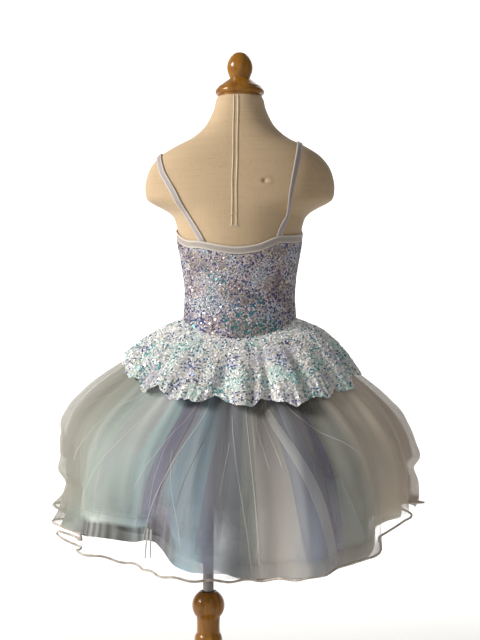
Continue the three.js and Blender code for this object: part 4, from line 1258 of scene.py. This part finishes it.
class Layer:
    """One tulle layer in the making: its ring of net, and the gathers laid over it.

    glow lightens its tints, painted light that makes up for the shade the layers cast on one another; shift
    turns its creases round the skirt in degrees, ripple and crease are how deep its gathers and creases are,
    and hem is how far it follows the uneven length of the hem. A layer given the dark hem band gets painted
    shade low at the hem of the back's left, hem_dark darkens its edge, and reach is how many millimetres
    longer it is at the back's right.
    """

    def __init__(
        self, tints, glow, dense, shift, ripple, crease, hem, shape, waves,
        lined=False, hem_dark=0.0, reach=0,
    ):
        self.tints, self.glow, self.dense, self.shift, self.waves = tints, glow, dense, shift, waves
        self.ripple, self.crease, self.hem, self.shape = ripple, crease, hem, shape
        self.lined, self.hem_dark, self.reach = lined, hem_dark, reach
        self.points, self.faces, self.uvs, self.values, self.count = [], [], [], [], 0

    def surface(self, angle, down, off=0.0):
        high, share = creases(angle, down, self.shift)
        fine = self.ripple * ripples(angle, down, 64, self.shift + 1) * down**0.3 * np.exp(-1.2 * down)
        fine = fine + self.ripple * ripples(angle, down, 37, self.shift + 2) * down
        turn = turn_from_back(angle)
        extra = fine + self.crease * high * (0.25 + down) + off + self.waves(turn, down)
        cut = 1 - self.hem * (1 - hem_length(turn))
        sag = hem_sag(turn) + self.reach * low_at_right(turn)
        shape = dict(self.shape, length=self.shape.get("length", 1) * cut, longer=sag * down**3)
        shape.update(fold_at=tutu_fold, clear=TULLE_CLEAR, extra=extra)
        return skirt_points(angle, down, TUTU_FALL, **shape), share

    def add(self, angle, down, grid, tint, dense, crease, ring):
        faces, _ = grid_faces(grid.shape[0] - (0 if ring else 1), grid.shape[1] - 1, ring)
        shares = np.stack(np.broadcast_arrays(angle / (2 * math.pi) + 0 * down, 1 - down + 0 * angle), -1)
        corners = shares.reshape(-1, 2)[faces.ravel()].reshape(-1, 4, 2)
        if ring:
            u = corners[..., 0]
            wrapped = (u.max(1) - u.min(1)) > 0.5
            corners[..., 0] = np.where(wrapped[:, None] & (u < 0.5), u + 1, u)
        self.faces.append(faces + self.count)
        self.points.append(grid.reshape(-1, 3))
        self.uvs.append(corners.reshape(-1, 2))
        flat = [np.broadcast_to(v, grid.shape[:2]).reshape(-1, 1) for v in (dense, crease)]
        tint = np.broadcast_to(tint, (*grid.shape[:2], 3)).reshape(-1, 3)
        self.values.append(np.concatenate([tint, *flat], 1))
        self.count += len(self.points[-1])

    def add_ring(self, columns, rows):
        angle = all_round(columns)[:, None]
        down = np.linspace(0, 1, rows + 1)[None, :] ** 0.9
        grid, share = self.surface(angle, down)
        turn = turn_from_back(angle)
        tint = net_tint(tint_at(self.tints, turn), turn, down, self.glow)
        tint = tint * (1 - self.hem_dark * smoothstep(0.92, 0.95, down))[..., None]
        dense = self.dense(turn, down) * (1 - sheer(turn, down))
        if self.lined:
            # Painted shade: a dark, dense band at the hem, low at the back's left.
            shows = hem_shade_shows(turn, down)
            tint = tint + (np.array(HEM_SHADE_TONE) - tint) * shows[..., None]
            dense = dense + (0.95 - dense) * shows
        self.add(angle, down, grid, tint, dense, 0.22 * share, True)

    def add_gathers(self, rows, bright):
        for number, row in enumerate(rows):
            wide = max(row["half"], row["half_low"])
            thread = wide < THREAD_HALF
            fold = np.concatenate([[0, 0.03], np.linspace(0.08, 0.92, 3 + int(4 * wide)), [0.97, 1]])
            across = np.array([0, 0.5, 1]) if thread else fold
            down = np.linspace(row["start"], row["end"], 40)[None, :]
            along = (down - row["start"]) / (row["end"] - row["start"])
            slanted = along * along * (3 - 2 * along) * 0.4 + along * 0.6
            centre = row["turn"] + (row["turn_low"] - row["turn"]) * slanted
            half = row["half"] + (row["half_low"] - row["half"]) * along
            half = half * (1 + 0.08 * np.sin(9 * down + number))
            angle = np.radians(270 + centre + half * (2 * across[:, None] - 1))
            puffed = 1.2 + 0.3 * (number % 4) + 0.3 * wide**0.5 * np.sin(math.pi * across[:, None])
            grid, _ = self.surface(angle, down, puffed * (0.45 + 0.55 * down))
            ends = smoothstep(0, 0.08, along) * (1 - 0.6 * smoothstep(0.9, 1, along))
            edge = np.where(thread, 0.8, bell(np.minimum(across, 1 - across), 0, 0.025))[:, None]
            turn = turn_from_back(angle)
            tint = net_tint(np.array(row["tint"]), turn, down, self.glow)
            # The gathers fade out where the painted hem shade lies.
            ends = ends * (1 - hem_shade_shows(turn, down)) if self.lined else ends
            thin = (0.65 if thread else 1.0) * (1 - sheer(turn, down))
            self.add(angle, down, grid, tint, thin * row["dense"] * ends, bright * edge * ends, False)

    def finish(self, name, node, slot, material, cut):
        """The layer as a piece; cut, its width, height and area as cut in metres, is not used."""
        mesh = new_mesh(name, *(np.concatenate(part) for part in (self.points, self.faces, self.uvs)))
        values = np.concatenate(self.values)
        tint = mesh.attributes.new("tint", "FLOAT_COLOR", "POINT")
        opaque = np.ones((len(values), 1))
        tint.data.foreach_set("color", np.concatenate([values[:, :3], opaque], 1).ravel())
        add_attribute(mesh, "dense", values[:, 3])
        add_attribute(mesh, "crease", values[:, 4])
        layer = add_piece(name, mesh, material, node)


# The top layer's flounces at the two sides: how far they stand out, down the skirt.
SIDE_WAVES = table(
    "down left right",
    (0.5, 0, 0), (0.56, 3, 2), (0.62, 6, 0), (0.7, -2, 0), (0.75, 3, 2), (0.81, -24, -13),
    (0.87, -12, -8), (0.93, -9, -8), (1, 5, -15),
)
wave_left, wave_right = (curve_through(SIDE_WAVES, "down", side) for side in ("left", "right"))


def side_waves(turn, down):
    drift = down - 0.0012 * np.abs(np.abs(turn) - 90)
    return wave_left(drift) * bell(turn, -88, 22) + wave_right(drift) * bell(turn, 88, 22)


def inner_waves(turn, down):
    """The layers under the top one follow it where it turns in."""
    return np.minimum(0, side_waves(turn, down))


def sheer(turn, down):
    """How see-through all layers become low in the middle of the back, in front of the pole."""
    return 0.42 * bell(turn, -4, 4) * smoothstep(0.7, 0.86, down)


def top_density(turn, down):
    """Denser at the sides and the waist, and next to nothing where the back's left hem hangs alone."""
    sides = 0.3 + 0.3 * smoothstep(35, 75, np.abs(turn))
    waist = 0.25 * np.exp(-down / 0.12)
    alone = between(turn, -72, -60, -16, -2) + between(turn, 48, 54, 78, 90)
    bare = smoothstep(0.0, 0.03, down - (hem_length(turn) - 0.02)) * alone
    hem = 0.4 * smoothstep(0.93, 0.965, down) * smoothstep(-6, 8, turn) * (1 - smoothstep(100, 125, turn))
    # The top layer thins where the painted shade of the dark hem band lies under it, so that it shows.
    hem_shade_band = between(turn, -68, -60, -20, -14) * smoothstep(0.9, 0.92, down / hem_length(turn))
    return np.minimum(0.95, (sides + waist + hem) * (1 - 0.93 * bare) * (1 - 0.8 * hem_shade_band))


def even_density(dense):
    def at(turn, down):
        return dense + 0.1 * np.exp(-down / 0.2) + 0.2 * smoothstep(0.82, 0.95, down) + 0 * turn

    return at


def make_peplum():
    angle = all_round(840)[:, None]
    down = np.linspace(0, 1, 49)[None, :]
    ruffle = 2.4 * down**1.5 * ripples(angle, down, 31, 4.0)
    for turn, wide, deep in PEPLUM_CREASES:
        off = (turn_from_back(angle) - turn - 3 * np.sin(3 * down) + 180) % 360 - 180
        ruffle = ruffle + 0.65 * deep * bell(off, 0, 1.25 * wide) * smoothstep(0.15, 0.8, down)
    frill = smoothstep(0.7, 1, down)
    ruffle = ruffle + 1.6 * frill * ripples(angle, down, 88, 2.0)
    longer = peplum_lobes(angle) * down**3 + frill * (1.6 * ripples(angle, down, 53, 6.0) - 0.5)
    shape = dict(
        fall=PEPLUM_FALL, fold_at=peplum_fold, below=0, clear=CLOTH_CLEAR_OF_FORM + 1.6,
        fold=12, growth=1.4, lobe=15, longer=longer,
    )
    outer = skirt_points(angle, down, extra=ruffle, **shape)
    inner = skirt_points(angle, down, extra=ruffle - 1.0, **shape)
    peplum, sequins = add_sequinned(
        "peplum", "peplum", outer, inner, True, PEPLUM_KNIT, PEPLUM_FOIL, spacing=0.0022, seed=7,
    )


def make_tutu():
    top = Layer(
        TOP_TINTS, glow=1.1, dense=top_density, shift=0.0, ripple=1.3, crease=0.55, hem=0.0,
        shape=TOP_SHAPE, waves=side_waves, hem_dark=0.3,
    )
    top.add_ring(columns=900, rows=60)
    top.add_gathers(TOP_GATHERS, bright=0.6)
    finish = tulle("white_tulle", streaky=0.4)
    top.finish("tutu_white", "tutu_top_layer", "white_tulle", finish, (1.85, 0.43, 0.75))
    middle = Layer(
        MIDDLE_TINTS, glow=1.5, dense=even_density(0.72), shift=5.0, ripple=1.1, crease=0.3, hem=1.0,
        shape=dict(below=13, inset=13, fold=20), waves=inner_waves, lined=True,
    )
    middle.add_ring(columns=720, rows=48)
    middle.add_gathers(MIDDLE_GATHERS, bright=0.3)
    finish = tulle("mint_tulle", streaky=0.2)
    middle.finish("tutu_mint", "tutu_middle_layer", "mint_tulle", finish, (2.1, 0.41, 0.85))
    under = Layer(
        UNDER_TINTS, glow=1.6, dense=even_density(0.85), shift=-6.0, ripple=1.0, crease=0.3, hem=0.8,
        shape=dict(below=19, length=0.93, inset=27, fold=15), waves=inner_waves, reach=22,
    )
    under.add_ring(columns=560, rows=40)
    finish = tulle("lavender_tulle", streaky=0.15)
    under.finish("tutu_lavender", "tutu_under_layer", "lavender_tulle", finish, (1.55, 0.39, 0.59))


# ---- Hem cord ----

# The cord's run round the hem, in degrees from the middle of the back. It doubles back on itself once at the
# left. It is loose below the net there and at the right, from 0 at the net's hem to 1 at the cord's full
# length, and its drop is how many millimetres lower it hangs.
CORD_RUN = table(
    "along turn loose drop",
    (0, -180, 0, 0), (100, -80, 0, 0), (120, -60, 0, 0), (134, -46, 0.05, 0), (137, -45.2, 0.3, 2),
    (147, -56, 0.1, 8), (155, -66, 0, 9), (158, -67, 0, 15), (168, -58, 0.3, 22), (181, -45, 0.85, 10),
    (192, -34, 0.97, 2), (208, -18, 1, 0), (242, 16, 1, 0), (248, 22, 0, 0), (272, 46, 0, 0),
    (278, 52, 1, 0), (282, 56, 1, 3), (288, 62, 0.1, 0), (406, 180, 0, 0),
)


def make_hem_cord():
    along = np.linspace(0, CORD_RUN[-1]["along"], 1100, endpoint=False)
    turn, loose, drop = (
        curve_through(CORD_RUN, "along", name)(along) for name in ("turn", "loose", "drop")
    )
    angle = np.radians(270 + turn)
    wander = 1.6 * ripples(angle, 1.0, 37, 2.0)
    shape = dict(TOP_SHAPE, fold_at=tutu_fold, clear=TULLE_CLEAR, extra=wander, longer=hem_sag(turn))
    low = skirt_points(angle, 0 * angle + 1, TUTU_FALL, **shape)
    tight = skirt_points(angle, 0 * angle + 1, TUTU_FALL, length=hem_length(turn), **shape)
    path = tight + (low - tight) * loose[:, None]
    path[:, 2] -= drop
    path[:, 2] += 1.2 * np.sin(angle * 41) * (0.4 + loose) - HEM_CORD_RADIUS - 0.3
    path[:, 1] -= 1.5 * np.sin(along * 0.9) * (np.abs(along - 156) < 24)
    mesh = tube_mesh("hem_cord", path, HEM_CORD_RADIUS, 8, ring=True)
    add_piece("hem_cord", mesh, CORD, "tutu_hem_cord")


# ---- Camera, light and floor ----


def aim(thing, target):
    direction = Vector(target) - thing.location
    thing.rotation_euler = direction.to_track_quat("-Z", "Y").to_euler()


# The camera looks at its target from this far round the back's middle, above it, and away, in metres.
CAMERA_TURN, CAMERA_RISE, CAMERA_AWAY = math.radians(3), math.radians(0.65), 2.1
CAMERA_TARGET = (0.0555, 0.0, 0.776)
SENSOR_HEIGHT, HALF_VIEW = 24, math.radians(14.9)


def make_camera():
    camera = put(bpy.data.objects.new("camera", bpy.data.cameras.new("camera")))
    camera.location = (
        CAMERA_TARGET[0] + CAMERA_AWAY * math.cos(CAMERA_RISE) * math.sin(CAMERA_TURN),
        CAMERA_TARGET[1] - CAMERA_AWAY * math.cos(CAMERA_RISE) * math.cos(CAMERA_TURN),
        CAMERA_TARGET[2] + CAMERA_AWAY * math.sin(CAMERA_RISE),
    )
    aim(camera, CAMERA_TARGET)
    camera.data.sensor_fit = "VERTICAL"
    camera.data.sensor_height = SENSOR_HEIGHT
    camera.data.lens = SENSOR_HEIGHT / 2 / math.tan(HALF_VIEW)
    bpy.context.scene.camera = camera


def add_light(name, place, size, power, colour=(1, 1, 1), target=(0.05, 0, 0.75)):
    lamp = put(bpy.data.objects.new(name, bpy.data.lights.new(name, "AREA")))
    lamp.location = place
    lamp.data.size = size
    lamp.data.energy = power
    lamp.data.color = colour
    aim(lamp, target)
    return lamp.data


def make_lights():
    world = bpy.data.worlds.new("studio")
    world.use_nodes = True
    sky = world.node_tree.nodes["Background"]
    sky.inputs["Color"].default_value = (1, 0.96, 0.92, 1)
    sky.inputs["Strength"].default_value = 0.18
    bpy.context.scene.world = world
    add_light("key", (-2.75, -1.05, 2.2), size=0.9, power=122, colour=(1, 0.96, 0.9))
    add_light("fill", (0.2, -3.2, 1.2), size=1.8, power=8, colour=(1, 0.96, 0.92))
    add_light("side", (2.5, -1.7, 1.0), size=1.4, power=0.6, colour=(1, 0.87, 0.74))
    add_light("back", (0.9, 2.2, 2.4), size=1.6, power=12)
    wash = add_light("wash", (0, 1.7, 2.6), size=4.0, power=150, target=(0, 4.6, 0.9))
    wash.shape = "RECTANGLE"
    wash.size_y = 0.8


def make_floor():
    """A floor that curves up into a wall behind the form."""
    finish = Finish("pale_floor", roughness=0.9)
    finish.into("Base Color", (0.9, 0.9, 0.9, 1))
    bend = [(3.0 + 2.0 * math.sin(a), 2.0 - 2.0 * math.cos(a)) for a in np.linspace(0.1, math.pi / 2, 16)]
    profile = [(-6.0, 0.0), (3.0, 0.0)] + bend + [(5.0, 7.0)]
    points = [(x, y, z) for y, z in profile for x in (-9.0, 9.0)]
    faces = [(2 * i, 2 * i + 1, 2 * i + 3, 2 * i + 2) for i in range(len(profile) - 1)]
    mesh = bpy.data.meshes.new("floor")
    mesh.from_pydata(points, [], faces)
    mesh.shade_smooth()
    floor = put(bpy.data.objects.new("floor", mesh))
    floor.data.materials.append(finish.material)


make_camera()
make_lights()
make_floor()
bpy.context.scene.view_settings.view_transform = "Standard"
bpy.context.scene.cycles.transparent_max_bounces = 20
make_stand()
make_form()
make_welts()
make_cap()
make_bodice_half("front", curve_through(FRONT_EDGE, "angle", "z"), 3)
make_bodice_half("back", curve_through(BACK_EDGE, "angle", "z"), 5)
make_strap("left", LEFT_STRAP)
make_strap("right", RIGHT_STRAP)
make_peplum()
make_tutu()
make_hem_cord()
